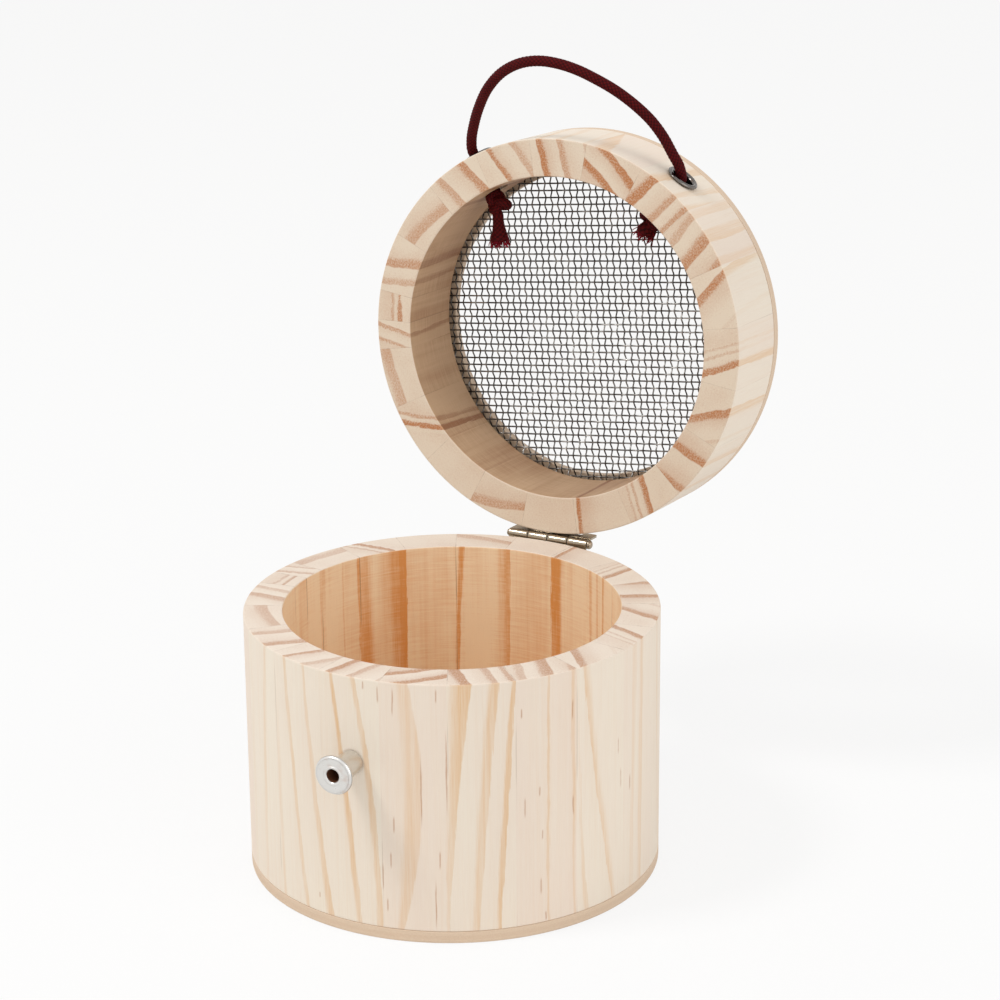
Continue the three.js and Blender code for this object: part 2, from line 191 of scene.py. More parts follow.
class CameraSettings(bpy.types.PropertyGroup):
    """The camera of the photograph"""

    azimuth: angle("Azimuth", "Round the cage from the front", 26.804)
    elevation: angle("Elevation", "Above the horizon", 19.257)
    roll: angle("Roll", "Turn of the picture", -0.474)
    distance: length("Distance", "From the aim to the camera", 733.76)
    aim_right: length("Aim right", "The aim's place to the right of the axis", 11.704)
    aim_height: length("Aim height", "The aim's height over the floor", 91.24)
    lens: FloatProperty(name="Lens", description="Focal length in millimetres", default=111.456)
    sensor: FloatProperty(name="Sensor", description="Width of the sensor in millimetres", default=36)


class CageSettings(bpy.types.PropertyGroup):
    """Everything that can be set on the cage"""

    blank: PointerProperty(type=BlankSettings)
    wire: PointerProperty(type=WireSettings)
    cord: PointerProperty(type=CordSettings)
    hardware: PointerProperty(type=HardwareSettings)
    colours: PointerProperty(type=ColourSettings)
    camera: PointerProperty(type=CameraSettings)


def settings():
    """The cage's settings in the open scene."""
    return bpy.context.scene.insect_cage


# Route of the cord from knot to knot, in the shut lid, with height counted from the lid's rim
CORD_POINTS = (
    (-0.023, -0.0341, 0.011), (-0.0252, -0.0373, 0.011), (-0.0279, -0.0408, 0.0106),
    (-0.029, -0.0434, 0.0094), (-0.0286, -0.0464, 0.0079), (-0.0268, -0.0504, 0.0053),
    (-0.0234, -0.0558, 0.0012), (-0.0189, -0.0614, -0.003), (-0.0135, -0.066, -0.0062),
    (-0.0077, -0.0688, -0.0081), (-0.0023, -0.0698, -0.0088), (0.0027, -0.0695, -0.0087),
    (0.0074, -0.0683, -0.0079), (0.0119, -0.0663, -0.0065), (0.0162, -0.0638, -0.0046),
    (0.0202, -0.0605, -0.0021), (0.0234, -0.0567, 0.0009), (0.0255, -0.0525, 0.0041),
    (0.0269, -0.0481, 0.0071), (0.0279, -0.0447, 0.0094), (0.0278, -0.0412, 0.011),
    (0.0252, -0.0373, 0.011), (0.023, -0.0341, 0.011),
)

# The left knot, -1, and the right one, 1: degrees round the lid, millimetres from its rim, lean of the
# loops in degrees, and the length in millimetres and lean in degrees of the cut tail
KNOTS = {-1: (-35, 9.8, -35, 11.5, -5), 1: (34, 11, -20, 7.2, 27)}

# Each stave of the lid, and of the cup's rim under it, in degrees and millimetres: the joint at its left,
# the direction across its growth rings (0 along the wall, 90 through it), how much a ring bows, how the
# rings lean and bow with height, how pink its wood is, and its rings as (place, width of the late wood,
# darkness)
STAVES = (
    (-172, 254.6, 0, 0.03, 0, 0.6, ((-2.2, 3.0, 0.6),)),
    (-154, 95, 0, 0, 0, 0.4, ((12, 3, 0.3),)),
    (-136, 216, 0, -0.05, 0, 0.3, ((-4.7, 1.2, 0.6), (-2.5, 2.0, 1))),
    (-118, 87, 0.01, 0.02, 0, 0.8, ((3.8, 3.6, 0.5),)),
    (-100, 18, 0, 0.02, 0, 0.2, ((-0.4, 1.1, 0.6), (3.3, 1.2, 0.65))),
    (-91, 85, 0, 0, 0, 0.6, ((4.6, 1.2, 0.5), (6.4, 1.3, 0.8))),
    (-82, 162.2, 0, 0.04, 0, 0.3, ((1.5, 3.0, 0.75), (5.8, 1.8, 0.5))),
    (-64, 100.8, 0, 0.03, 0, 0.9, ((6.65, 3.4, 0.55),)),
    (-46, -13.5, 0, 0.04, 0, 0.1, ((-3.6, 2.6, 0.6), (3.8, 3.0, 0.85))),
    (-28, 157, 0, -0.085, 0, 0.1, ((-1.7, 2.4, 0.5), (4.3, 1.5, 0.85))),
    (-10, 163, 0, -0.09, 0, 0.2, ((-6.6, 1.4, 0.4), (0.5, 2.2, 0.6), (5.8, 2.0, 0.95))),
    (8, 297.5, 0, -0.197, -0.0037, 0.8, ((-6.4, 2.2, 1), (-0.8, 2.2, 0.95))),
    (26, 9.6, 0, 0.09, 0, 0.3, ((-2.4, 3.4, 1), (3.8, 2.2, 0.65), (7.5, 1.6, 0.7))),
    (44, -16.8, 0, 0.005, 0, 0.9, ((-5, 2.4, 0.5), (1.3, 3.6, 0.8), (7.1, 2, 0.6))),
    (62, 148, 0, -0.1, 0.0007, 0.2, ((-3.5, 1.5, 0.15), (6, 2.4, 0.85))),
    (80, -21, 0, 0.02, 0, 0.5, ((-3.6, 0.8, 0.35), (-2.2, 0.7, 0.35), (1.6, 2, 0.95))),
    (98, 146.6, 0, 0.03, 0, 0.2, ((-4.3, 1, 0.3), (2.8, 2.3, 0.85))),
    (116, -8, 0, 0.02, 0, 0.3, ((-1.7, 2.6, 0.85), (7.1, 2.4, 0.7))),
    (134, 196, 0, -0.02, 0, 0.4, ((-5.6, 0.8, 0.4), (-4.2, 0.8, 0.5), (-0.9, 1.9, 0.95))),
    (152, 9, 0, 0.02, 0, 0.5, ((7, 1.3, 0.95),)),
    (170, 90, 0, 0, 0, 0.7, ((14, 4, 0.3),)),
)

# Each streak of late wood on the cup's outside: its sharper edge in degrees at the head, the middle and
# the foot of the wall, its width there in millimetres, how far it fades beyond the edge, and its
# darkness at the head and the foot
STREAKS = (
    ((-174, -172, -171), (1.6, 1.6, 1.6), 0.4, (0.5, 0.4)),
    ((-160, -163, -165), (1.2, 1.4, 1.2), 0.3, (0.6, 0.5)),
    ((-148, -149, -153), (1.6, 2, 2.4), 0.3, (0.7, 0.6)),
    ((-135, -137, -142), (1, 1.2, 1.4), 0.25, (0.6, 0.5)),
    ((-121, -119, -118), (2, 2.6, 2), 0.3, (0.45, 0.5)),
    ((-108, -105, -103), (1.2, 1.2, 1.4), 0.3, (0.55, 0.45)),
    ((-96, -95, -95), (1.2, 1.2, 1.2), 0.8, (0.3, 0.3)),
    ((-83, -86, -90), (1.4, 1.6, 1.6), 0.3, (0.6, 0.5)),
    ((-71, -73, -76), (1.6, 1.4, 1.2), 0.3, (0.5, 0.55)),
    ((-58, -58, -59), (1.8, 1.8, 1.8), 1, (0.25, 0.25)),
    ((-43.5, -44, -44.5), (1.5, 1.5, 1.5), 1.2, (0.12, 0.12)),
    ((-33, -35, -36.2), (1.2, 1.4, 1.2), 1, (0.3, 0.22)),
    ((-27.6, -27.2, -26), (0.8, 0.8, 1.2), 0.8, (0, 0.38)),
    ((-23, -20, -15.9), (1.2, 1.3, 1.4), 0.25, (0.5, 0.45)),
    ((-15.7, -12.2, -7.2), (0.9, 1.5, 2.5), 0.3, (0.38, 0.62)),
    ((-5.9, -1.6, 1.5), (1.1, 1.6, 1.6), 0.3, (0.8, 0.6)),
    ((0.7, 5.8, 7.6), (1.2, 1.8, 1.6), 0.3, (0.6, 0.55)),
    ((15.4, 18.7, 13.3), (3, 5.4, 1.6), 0.4, (0.42, 0.5)),
    ((32.4, 28.3, 25.6), (5.8, 2.6, 0.7), 0.25, (0.85, 0.3)),
    ((39.8, 36.2, 33.8), (3, 2.7, 1.9), 0.3, (0.7, 0.42)),
    ((43.8, 41.6, 39.1), (0.9, 1.6, 1), 0.25, (0.8, 0.7)),
    ((53.4, 53.2, 53.3), (0.7, 0.7, 0.7), 0.3, (0.5, 0.5)),
    ((61.4, 61.3, 61.5), (1.3, 1.1, 0.8), 0.4, (0.5, 0.4)),
    ((62.6, 63, 65.8), (0.2, 0.4, 1.6), 0.3, (0, 0.45)),
    ((64.2, 68.9, 75.1), (0.35, 0.35, 0.35), 2.2, (0.6, 0.5)),
    ((85.8, 85, 84.5), (1.6, 1.6, 1.6), 1, (0.25, 0.2)),
    ((89.8, 89.4, 89), (1.6, 1.6, 1.6), 1.2, (0.4, 0.35)),
    ((103, 105, 108), (1.2, 1.2, 1.2), 0.3, (0.45, 0.5)),
    ((116, 119, 121), (1.6, 1.8, 2.2), 0.3, (0.6, 0.5)),
    ((129, 130, 133), (1, 1.2, 1.2), 0.25, (0.5, 0.55)),
    ((143, 141, 140), (1.8, 2.4, 2.2), 0.3, (0.7, 0.55)),
    ((156, 153, 148), (1.4, 1.4, 1.6), 0.25, (0.6, 0.5)),
    ((168, 167, 165), (1.2, 1, 1), 0.6, (0.3, 0.35)),
)

# The same for the bored inside of the cup
BORE_STREAKS = (
    ((-173.4, -173, -172), (0.4, 0.4, 0.4), 5, (0.75, 0.7)),
    ((-155.8, -154.4, -155.4), (1.2, 0.7, 1.1), 0.9, (1, 0.95)),
    ((-136, -136, -136), (0.1, 0.1, 0.1), 8, (1, 1)),
    ((-117, -117.5, -118), (5.2, 4.8, 4.4), 0.2, (0.8, 0.8)),
    ((-110.6, -110.4, -110.4), (0.3, 0.3, 0.3), 0.2, (0.2, 0.6)),
    ((-99.4, -99.6, -99.8), (2.4, 2.2, 2.4), 0.6, (0.5, 0.45)),
    ((-86, -85, -84), (1.4, 1.4, 1.6), 0.5, (0.3, 0.3)),
    ((-60, -60, -60), (2, 2, 2), 0.5, (0.4, 0.4)),
    ((-30, -28, -27), (1.4, 1.4, 1.4), 0.5, (0.5, 0.5)),
    ((0, 2, 3), (2, 2, 2), 0.5, (0.5, 0.5)),
    ((40, 41, 42), (2.4, 2, 1.6), 0.5, (0.5, 0.5)),
    ((75, 74, 73), (1.6, 1.6, 1.6), 0.5, (0.5, 0.5)),
    ((110, 112, 113), (2, 2, 2), 0.5, (0.5, 0.5)),
    ((142.4, 142, 141), (1.2, 1.2, 1.2), 0.3, (0.8, 0.7)),
    ((146, 146, 146), (0.8, 0.8, 0.8), 0.3, (0.5, 0.5)),
    ((150.6, 150, 150), (1, 1, 1), 0.3, (0.5, 0.5)),
    ((169.8, 169.6, 169.4), (4.2, 3.8, 3), 0.15, (0.95, 0.9)),
)

# Resin canals that show on the cup's outside as short brown lines: degrees, and foot and head in
# millimetres
CANALS = (
    (-12, 6.6, 8.4), (3.4, 62, 64.5), (7.5, 59, 64), (11.5, 56, 64), (18.8, 28, 48), (25.5, 31, 55),
    (23, 60, 64), (11.3, 27, 32), (10.3, 18, 23), (8, 12, 20), (9.2, 7, 11), (23.5, 18.5, 24),
    (22.3, 3, 17), (45.5, 55, 58), (46.3, 30, 36), (50.5, 35, 38), (51.3, 24, 27), (50.8, 10, 15),
    (52.2, 3.2, 6), (60.5, 52, 58), (60.7, 28, 34), (83, 28, 33), (78.6, 30, 36), (77.4, 39, 44),
)

# In millimetres: a plain ring past the outermost late wood of a stave, the fade past a sharp edge, the
# reach of a wall's skin, and the distance between the grains of two neighbouring staves
PLAIN_RING = 9
STAVE_FADE = 0.25
SKIN = 0.6
GRAIN_SHIFT = 40.0

# Distance between two rings of points along the cord
CORD_STEP = 0.2 * MM

# Gap between two knuckles of the hinge
KNUCKLE_GAP = 0.3 * MM

# The lid's streaks outside are paler than on its rim by this factor
LID_OUTSIDE = 0.6

# The part of a ring over which a value changes from the edge behind it to the edge ahead: early where
# it belongs to the late wood ahead, late where it belongs to the fading wood behind
AHEAD = (0.2, 0.5)
BEHIND = (0.65, 0.9)
AT_EDGE = (0.98, 1)


# Places

def lid_to_row(points):
    """Points of the shut lid, with height counted from its rim, turned open about the hinge."""
    x, y, z = np.moveaxis(np.asarray(points, float), -1, 0)
    out, up = y - HINGE_Y, z + HALF_JOINT_GAP
    cos, sin = math.cos(OPEN), math.sin(OPEN)
    return np.stack([x, HINGE_Y + out * cos + up * sin, HINGE_Z - out * sin + up * cos], -1)


def on_wall(points, turn, height, radius):
    """Points made about +Z, set on the wall so that +Z points out of it and +Y up."""
    x, y, z = np.moveaxis(np.asarray(points, float), -1, 0)
    outward = np.array([math.sin(turn), -math.cos(turn), 0])
    along = np.array([math.cos(turn), math.sin(turn), 0])
    level = (radius + z)[..., None] * outward + x[..., None] * along
    return level + (y + height)[..., None] * (0, 0, 1)


# Meshes

def new_piece(name, points, *faces):
    """An object from an array of points and arrays of faces, each with one count of corners."""
    mesh = bpy.data.meshes.new(name)
    corners = np.concatenate([part.ravel() for part in faces])
    counts = np.concatenate([np.full(len(part), part.shape[1]) for part in faces])
    mesh.vertices.add(len(points))
    mesh.vertices.foreach_set("co", np.asarray(points, np.float32).ravel())
    mesh.loops.add(len(corners))
    mesh.loops.foreach_set("vertex_index", corners.astype(np.int32))
    mesh.polygons.add(len(counts))
    mesh.polygons.foreach_set("loop_start", (np.cumsum(counts) - counts).astype(np.int32))
    mesh.update(calc_edges=True)
    mesh.validate()
    piece = bpy.data.objects.new(name, mesh)
    bpy.context.scene.collection.objects.link(piece)
    return piece


def faced(piece, sharp=35):
    """Faces pointing out, smooth up to the given angle in degrees."""
    shape = bmesh.new()
    shape.from_mesh(piece.data)
    bmesh.ops.recalc_face_normals(shape, faces=shape.faces)
    shape.to_mesh(piece.data)
    shape.free()
    piece.data.shade_smooth()
    piece.data.set_sharp_from_angle(angle=math.radians(sharp))
    return piece


def applied(piece):
    """The piece with its modifiers worked into its mesh."""
    evaluated = piece.evaluated_get(bpy.context.evaluated_depsgraph_get())
    mesh = bpy.data.meshes.new_from_object(evaluated)
    piece.modifiers.clear()
    old, piece.data = piece.data, mesh
    bpy.data.meshes.remove(old)
    mesh.name = piece.name
    return piece


def cut(piece, *tools):
    """The piece with the tools' solids taken out of it."""
    for tool in tools:
        modifier = piece.modifiers.new("cut", "BOOLEAN")
        modifier.object = faced(tool)
        modifier.solver = "MANIFOLD"
    applied(piece)
    for tool in tools:
        bpy.data.objects.remove(tool)
    return piece


def placed(piece, body, slot, finish_name, *nodes):
    """Gives a piece its finish, the body that carries it and the CAD nodes that it stands for."""
    piece.data.materials.clear()
    piece.data.materials.append(finish(finish_name))
    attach(piece, body)
    if nodes:
        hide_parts(*nodes)
    return piece


def move(piece, place):
    """Moves the points of a piece's mesh through a function of an array of points."""
    points = vertex_places(piece.data)
    piece.data.vertices.foreach_set("co", place(points).astype(np.float32).ravel())
    piece.data.update()
    return piece


def vertex_places(mesh):
    """The places of a mesh's points, as rows of x, y and z."""
    points = np.empty(len(mesh.vertices) * 3, np.float32)
    mesh.vertices.foreach_get("co", points)
    return points.reshape(-1, 3).astype(float)


def write_field(mesh, name, values, domain):
    """An attribute of one number or of three at each point or face corner."""
    kind, key = ("FLOAT", "value") if values.ndim == 1 else ("FLOAT_VECTOR", "vector")
    field = mesh.attributes.new(name, kind, domain)
    field.data.foreach_set(key, np.asarray(values, np.float32).ravel())


def grid_faces(rows, columns, wrap_rows=False, wrap_columns=False):
    """Faces of a grid of points that is closed on itself in either direction."""
    index = np.arange(rows * columns).reshape(rows, columns)
    if wrap_rows:
        index = np.vstack([index, index[:1]])
    if wrap_columns:
        index = np.hstack([index, index[:, :1]])
    return np.stack([index[:-1, :-1], index[:-1, 1:], index[1:, 1:], index[1:, :-1]], -1).reshape(-1, 4)


def eased(corners, cuts, steps=6, closed=True):
    """An outline with each corner cut back by its length c and rounded from a to b by the curve
    (1-t)^2 a + 2t(1-t) corner + t^2 b, with a support point a quarter of c outside each end."""
    corners = np.asarray(corners, float)
    cuts = np.broadcast_to(cuts, len(corners))
    t = np.linspace(0, 1, steps + 1)[:, None]
    outline = []
    for k, (corner, back) in enumerate(zip(corners, cuts)):
        inner = closed or 0 < k < len(corners) - 1
        if back == 0 or not inner:
            outline.append(corner[None])
            continue
        before = corners[k - 1] - corner
        after = corners[(k + 1) % len(corners)] - corner
        before = before / np.linalg.norm(before)
        after = after / np.linalg.norm(after)
        a, b = corner + before * back, corner + after * back
        arc = (1 - t) ** 2 * a + 2 * t * (1 - t) * corner + t ** 2 * b
        outline += [(a + before * back / 4)[None], arc, (b + after * back / 4)[None]]
    return np.vstack(outline)


def refined(outline, step, closed=True):
    """An outline whose stretches are divided evenly into parts no longer than step."""
    ends = np.roll(outline, -1, 0) if closed else outline[1:]
    parts = []
    for start, end in zip(outline, ends):
        count = max(1, math.ceil(np.linalg.norm(end - start) / step))
        parts.append(start + (end - start) * np.arange(count)[:, None] / count)
    return np.vstack(parts if closed else [*parts, outline[-1:]])


def turned(name, profile, columns):
    """A profile of (radius r, height h) carried round the Z axis, (r sin a, -r cos a, h). It closes on
    itself, or starts and ends on the axis, where each pole is one point."""
    profile = np.asarray(profile, float)
    poles = abs(profile[0, 0]) < 1e-9
    band = profile[1:-1] if poles else profile
    turn = 2 * np.pi * np.arange(columns) / columns
    radius, height = band[:, :1], band[:, 1:]
    points = np.stack(np.broadcast_arrays(radius * np.sin(turn), -radius * np.cos(turn), height), -1)
    points = points.reshape(-1, 3)
    faces = [grid_faces(len(band), columns, wrap_rows=not poles, wrap_columns=True)]
    if poles:
        first, last = len(points), len(points) + 1
        ring = np.arange(columns)
        following = np.roll(ring, -1)
        top = ring + (len(band) - 1) * columns
        faces.append(np.stack([np.full(columns, first), following, ring], -1))
        faces.append(np.stack([np.full(columns, last), top, np.roll(top, -1)], -1))
        points = np.vstack([points, [(0, 0, profile[0, 1]), (0, 0, profile[-1, 1])]])
    return new_piece(name, points, *faces)


def unit(vectors):
    """The vectors at a length of 1."""
    return vectors / np.linalg.norm(vectors, axis=-1, keepdims=True)


def untwisted(paths, side):
    """Two unit vectors across each point of each path. They start from the cross product with the
    side direction, and are turned back by the twist added up from one point to the next."""
    along = unit(np.gradient(paths, axis=1))
    normal = unit(np.cross(along, side))
    cross = np.cross(along, normal)
    carried = normal[:, :-1] - np.sum(normal[:, :-1] * along[:, 1:], -1, keepdims=True) * along[:, 1:]
    twist = np.arctan2(np.sum(carried * cross[:, 1:], -1), np.sum(carried * normal[:, 1:], -1))
    twist = np.concatenate([np.zeros((len(paths), 1)), np.cumsum(twist, 1)], 1)[..., None]
    return normal * np.cos(twist) + cross * np.sin(twist), cross * np.cos(twist) - normal * np.sin(twist)


def tubes(name, paths, radius, sides, side):
    """Closed tubes round paths of (tube, step, xyz): each path point p has a ring of points
    p + r (n cos a + m sin a). The radius is a number or an array of (tube, step, side)."""
    count, steps = paths.shape[:2]
    normal, cross = untwisted(paths, side)
    turn = 2 * np.pi * np.arange(sides) / sides
    radius = np.broadcast_to(radius, (count, steps, sides))[..., None]
    across = normal[:, :, None] * np.cos(turn)[:, None] + cross[:, :, None] * np.sin(turn)[:, None]
    rings = (paths[:, :, None] + radius * across).reshape(-1, 3)
    each = np.arange(count)[:, None, None] * steps * sides
    wall = (grid_faces(steps, sides, wrap_columns=True)[None] + each).reshape(-1, 4)
    ring = np.arange(sides)
    centre = len(rings) + np.arange(count)[:, None]
    first = ring + each[..., 0]
    last = first + (steps - 1) * sides
    start = np.stack(np.broadcast_arrays(centre, np.roll(first, -1, 1), first), -1)
    end = np.stack(np.broadcast_arrays(centre + count, last, np.roll(last, -1, 1)), -1)
    points = np.vstack([rings, paths[:, 0], paths[:, -1]])
    return new_piece(name, points, wall, start.reshape(-1, 3), end.reshape(-1, 3))


def smooth_route(points, per_span=24):
    """A centripetal Catmull-Rom curve through the points: on each span a cubic Hermite curve whose
    end slopes come from the neighbours at knots a square root of distance apart."""
    points = np.asarray(points, float)
    points = np.vstack([2 * points[0] - points[1], points, 2 * points[-1] - points[-2]])
    p0, p1, p2, p3 = (points[k:len(points) - 3 + k, None] for k in range(4))
    spans = (p1 - p0, p2 - p1, p3 - p2)
    gap = [np.sqrt(np.linalg.norm(span, axis=-1, keepdims=True)) for span in spans]
    start = ((p1 - p0) / gap[0] - (p2 - p0) / (gap[0] + gap[1]) + (p2 - p1) / gap[1]) * gap[1]
    end = ((p2 - p1) / gap[1] - (p3 - p1) / (gap[1] + gap[2]) + (p3 - p2) / gap[2]) * gap[1]
    t = np.linspace(0, 1, per_span, endpoint=False)[:, None]
    curve = (2 * t ** 3 - 3 * t ** 2 + 1) * p1 + (t ** 3 - 2 * t ** 2 + t) * start
    curve = curve + (3 * t ** 2 - 2 * t ** 3) * p2 + (t ** 3 - t ** 2) * end
    return np.vstack([curve.reshape(-1, 3), points[-2:-1]])


def distances(route):
    """Length along a route to each of its points."""
    return np.concatenate([[0], np.cumsum(np.linalg.norm(np.diff(route, axis=0), axis=1))])


def evenly(route, step):
    """A route with its points moved to equal distances of about the given step."""
    along = distances(route)
    even = np.linspace(0, along[-1], round(along[-1] / step) + 1)
    return np.stack([np.interp(even, along, axis) for axis in route.T], -1)


def braid_relief(turn, along, strands, lay):
    """Relief of a braid, from 0 to 1, at a part turn and a distance along the cord. Strands wind both
    ways, a = n(turn + along/lay) and b = n(turn - along/lay). Their whole numbers make a chequer that
    says which lies on top, and the top one is a half sine across that swells along its float."""
    a = strands * (turn + along / lay)
    b = strands * (turn - along / lay)
    over = (np.floor(a) + np.floor(b)) % 2 == 0
    across = np.where(over, a, b) % 1
    onward = np.where(over, b, a) % 1
    return np.sin(np.pi * across) ** 0.6 * (0.4 + 0.6 * np.sin(np.pi * onward))


def braided(name, route, radii, sides, side):
    """A braided cord round a route, with its relief kept as a field for the finish."""
    cord = settings().cord
    turn = np.arange(sides) / sides
    relief = braid_relief(turn, distances(route)[:, None], cord.strands, cord.lay)
    wall = radii[:, None] + (relief - 1) * cord.relief
    piece = tubes(name, route[None], wall[None], sides, side)
    ends = [relief[0].mean(), relief[-1].mean()]
    write_field(piece.data, "relief", np.concatenate([relief.ravel(), ends]), "POINT")
    return piece


# Materials

class Value:
    """A number socket of a material. Each operator adds the Math node that works it out."""

    def __init__(self, shader, socket):
        self.shader = shader
        self.socket = socket

    def math(self, operation, first, *others):
        """What a Math node makes of values or numbers."""
        inputs = dict(enumerate((first, *others)))
        node = self.shader.node("ShaderNodeMath", {"operation": operation}, inputs)
        return Value(self.shader, node.outputs[0])

    def __add__(self, other):
        return self.math("ADD", self, other)

    __radd__ = __add__

    def __sub__(self, other):
        return self.math("SUBTRACT", self, other)

    def __rsub__(self, other):
        return self.math("SUBTRACT", other, self)

    def __mul__(self, other):
        return self.math("MULTIPLY", self, other)

    __rmul__ = __mul__

    def fraction(self):
        """The part after the decimal point."""
        return self.math("FRACT", self)

    def size(self):
        """The value without its sign."""
        return self.math("ABSOLUTE", self)

    def larger(self, other):
        """The larger of two values."""
        return self.math("MAXIMUM", self, other)

    def sway(self, amount, middle=0.5):
        """The change that a noise from 0 to 1 gives, up or down about its middle."""
        return (self - middle) * amount

    def rise(self, low, high):
        """0 below low, 1 above high, and an even S curve between."""
        inputs = {"Value": self, "From Min": low, "From Max": high}
        node = self.shader.node("ShaderNodeMapRange", {"interpolation_type": "SMOOTHSTEP"}, inputs)
        return Value(self.shader, node.outputs["Result"])


class Shader:
    """A node tree under construction."""

    def __init__(self, tree):
        self.tree = tree
        tree.nodes.clear()

    def node(self, kind, options=None, inputs=None):
        """A node of a type, with its settings and then the values or links of its sockets."""
        node = self.tree.nodes.new(kind)
        for key, value in (options or {}).items():
            setattr(node, key, value)
        for key, value in (inputs or {}).items():
            if isinstance(value, Value):
                value = value.socket
            if isinstance(value, bpy.types.NodeSocket):
                self.tree.links.new(value, node.inputs[key])
            else:
                node.inputs[key].default_value = value
        return node

    def field(self, name):
        """A vector that the mesh carries."""
        return self.node("ShaderNodeAttribute", {"attribute_name": name}).outputs["Vector"]

    def number(self, name):
        """A number that the mesh carries."""
        return Value(self, self.node("ShaderNodeAttribute", {"attribute_name": name}).outputs["Fac"])

    def place(self):
        """Object coordinates in millimetres."""
        coordinates = self.node("ShaderNodeTexCoord").outputs["Object"]
        return self.stretched(coordinates, (1 / MM,) * 3)

    def parts(self, vector):
        """The three numbers of a vector."""
        node = self.node("ShaderNodeSeparateXYZ", inputs={0: vector})
        return [Value(self, socket) for socket in node.outputs]

    def stretched(self, vector, factors):
        """A vector with each of its numbers multiplied by its own factor."""
        options = {"operation": "MULTIPLY"}
        return self.node("ShaderNodeVectorMath", options, {0: vector, 1: factors}).outputs[0]

    def noise(self, vector, factors, detail, roughness=0.5):
        """Noise from 0 to 1 whose grains are one over the factors across."""
        inputs = {"Vector": self.stretched(vector, factors), "Scale": 1.0}
        inputs |= {"Detail": detail, "Roughness": roughness}
        return Value(self, self.node("ShaderNodeTexNoise", inputs=inputs).outputs[0])

    def mixed(self, factor, first, second):
        """The first colour at a factor of 0, and the second at 1."""
        options = {"data_type": "RGBA"}
        return self.node("ShaderNodeMix", options, {0: factor, 6: first, 7: second}).outputs[2]

    def bump(self, height, depth, strength):
        """A normal from a height that goes from 0 to 1 over a depth in metres."""
        inputs = {"Height": height, "Distance": depth, "Strength": strength}
        return self.node("ShaderNodeBump", inputs=inputs).outputs[0]

    def surface(self, sockets):
        """Ends the tree in a surface with these sockets."""
        shader = self.node("ShaderNodeBsdfPrincipled", inputs=sockets)
        self.node("ShaderNodeOutputMaterial", inputs={"Surface": shader.outputs[0]})


def pine(part):
    """A recipe for the sanded pine of the cup or the lid."""
    return lambda wood: pine_surface(wood, part)


def pine_surface(wood, part):
    """Sanded pine. The field ring holds the place between the edges of the late wood, its darkness and
    its width; trail the same for the edge just passed, and rings to the millimetre; stave the distance
    to a glue joint, pinkness and how much is end grain; canal the nearest resin canal."""
    tint = settings().colours
    # The lid's bore and end colours are darker than the cup's as painted shade; the cup's bore colours
    # are warmer, partly as painted bounce light.
    bore, bore_late, end_early, end_late = (
        getattr(tint, f"{part}_{tone}") for tone in ("bore", "bore_late", "end", "end_late")
    )
    grain = wood.field("grain")
    ring, dark, width = wood.parts(wood.field("ring"))
    dark_before, fade, per_mm = wood.parts(wood.field("trail"))
    joint, blush, end = wood.parts(wood.field("stave"))
    aside, along, near = wood.parts(wood.field("canal"))
    inside = wood.number("inside")
    wander = wood.noise(grain, (0.22, 0.22, 0.05), 3)
    ragged = wood.noise(grain, (3.2, 3.2, 0.2), 3, 0.6)
    dots = wood.noise(grain, (2.4, 2.4, 2.4), 3, 0.6)
    waver = wander.sway(1.3) + ragged.sway(1.1) * (1 - end) + dots.sway(0.8) * end
    year = (ring + waver * per_mm).fraction()
    late = year.rise(1 - width, 1 - 0.5 * width) * dark + (1 - year.rise(0, fade)) * dark_before
    faint = year.rise(0.1, 0.95) * dark
    fibre = wood.noise(grain, (7, 7, 0.14), 3, 0.6)
    streak = wood.noise(grain, (1.1, 1.1, 0.02), 4, 0.6)
    cloud = wood.noise(grain, (0.09, 0.09, 0.02), 2)
    turning = wood.noise(grain, (0.1, 0.1, 2.4), 3, 0.65)
    pore = wood.noise(grain, (2.6, 2.6, 2.6), 2).rise(0.62, 0.74)

    pale = wood.mixed(blush * 0.55 + 0.1 + cloud.sway(0.9), tint.cream, tint.blush)
    worn = streak.sway(1.2) + fibre.sway(0.9) + 0.75
    side = wood.mixed(late * worn + faint * 0.1 + streak.sway(0.4), pale, tint.tan)
    change = turning.sway(0.9) + streak.sway(0.6) + cloud.sway(1.4)
    bored = wood.mixed(late * (fibre + 0.3) + change + 0.12, bore, bore_late)
    change = cloud.sway(0.4) + dots.sway(0.55)
    across = late * (dots.sway(1.7) + 0.62) + faint * 0.3 + change + blush * 0.06
    shade = wood.mixed(inside, side, bored)
    shade = wood.mixed(end, shade, wood.mixed(across, end_early, end_late))
    shade = wood.mixed(fibre.sway(0.2, 0.42) + pore * end * 0.3, shade, tint.fleck)

    beside = (aside + ragged.sway(0.5)).size().rise(0.02, 0.26)
    canal = (1 - beside) * (1 - along.size().rise(0.4, 1)) * near * (fibre * 0.75 + 0.2)
    shade = wood.mixed(canal, shade, tint.fleck)
    glued = wood.noise(grain, (0.5, 0.5, 0.035), 2).rise(0.5, 0.62)
    seam = (1 - joint.rise(0.02, 0.13)) * (glued * 0.25 + end * 0.12 + inside * glued * 0.3)
    shade = wood.mixed(seam, shade, tint.glue)

    height = fibre * 0.5 + late * 0.3 + joint.rise(0, 0.12) * 0.2 - canal * 0.4 + dots * end * 0.4
    height = height + turning * inside * 0.8
    wood.surface({
        "Base Color": shade,
        "Roughness": 0.62 - late * 0.1 + fibre.sway(0.15),
        "Normal": wood.bump(height, 0.06 * MM, 0.6),
    })


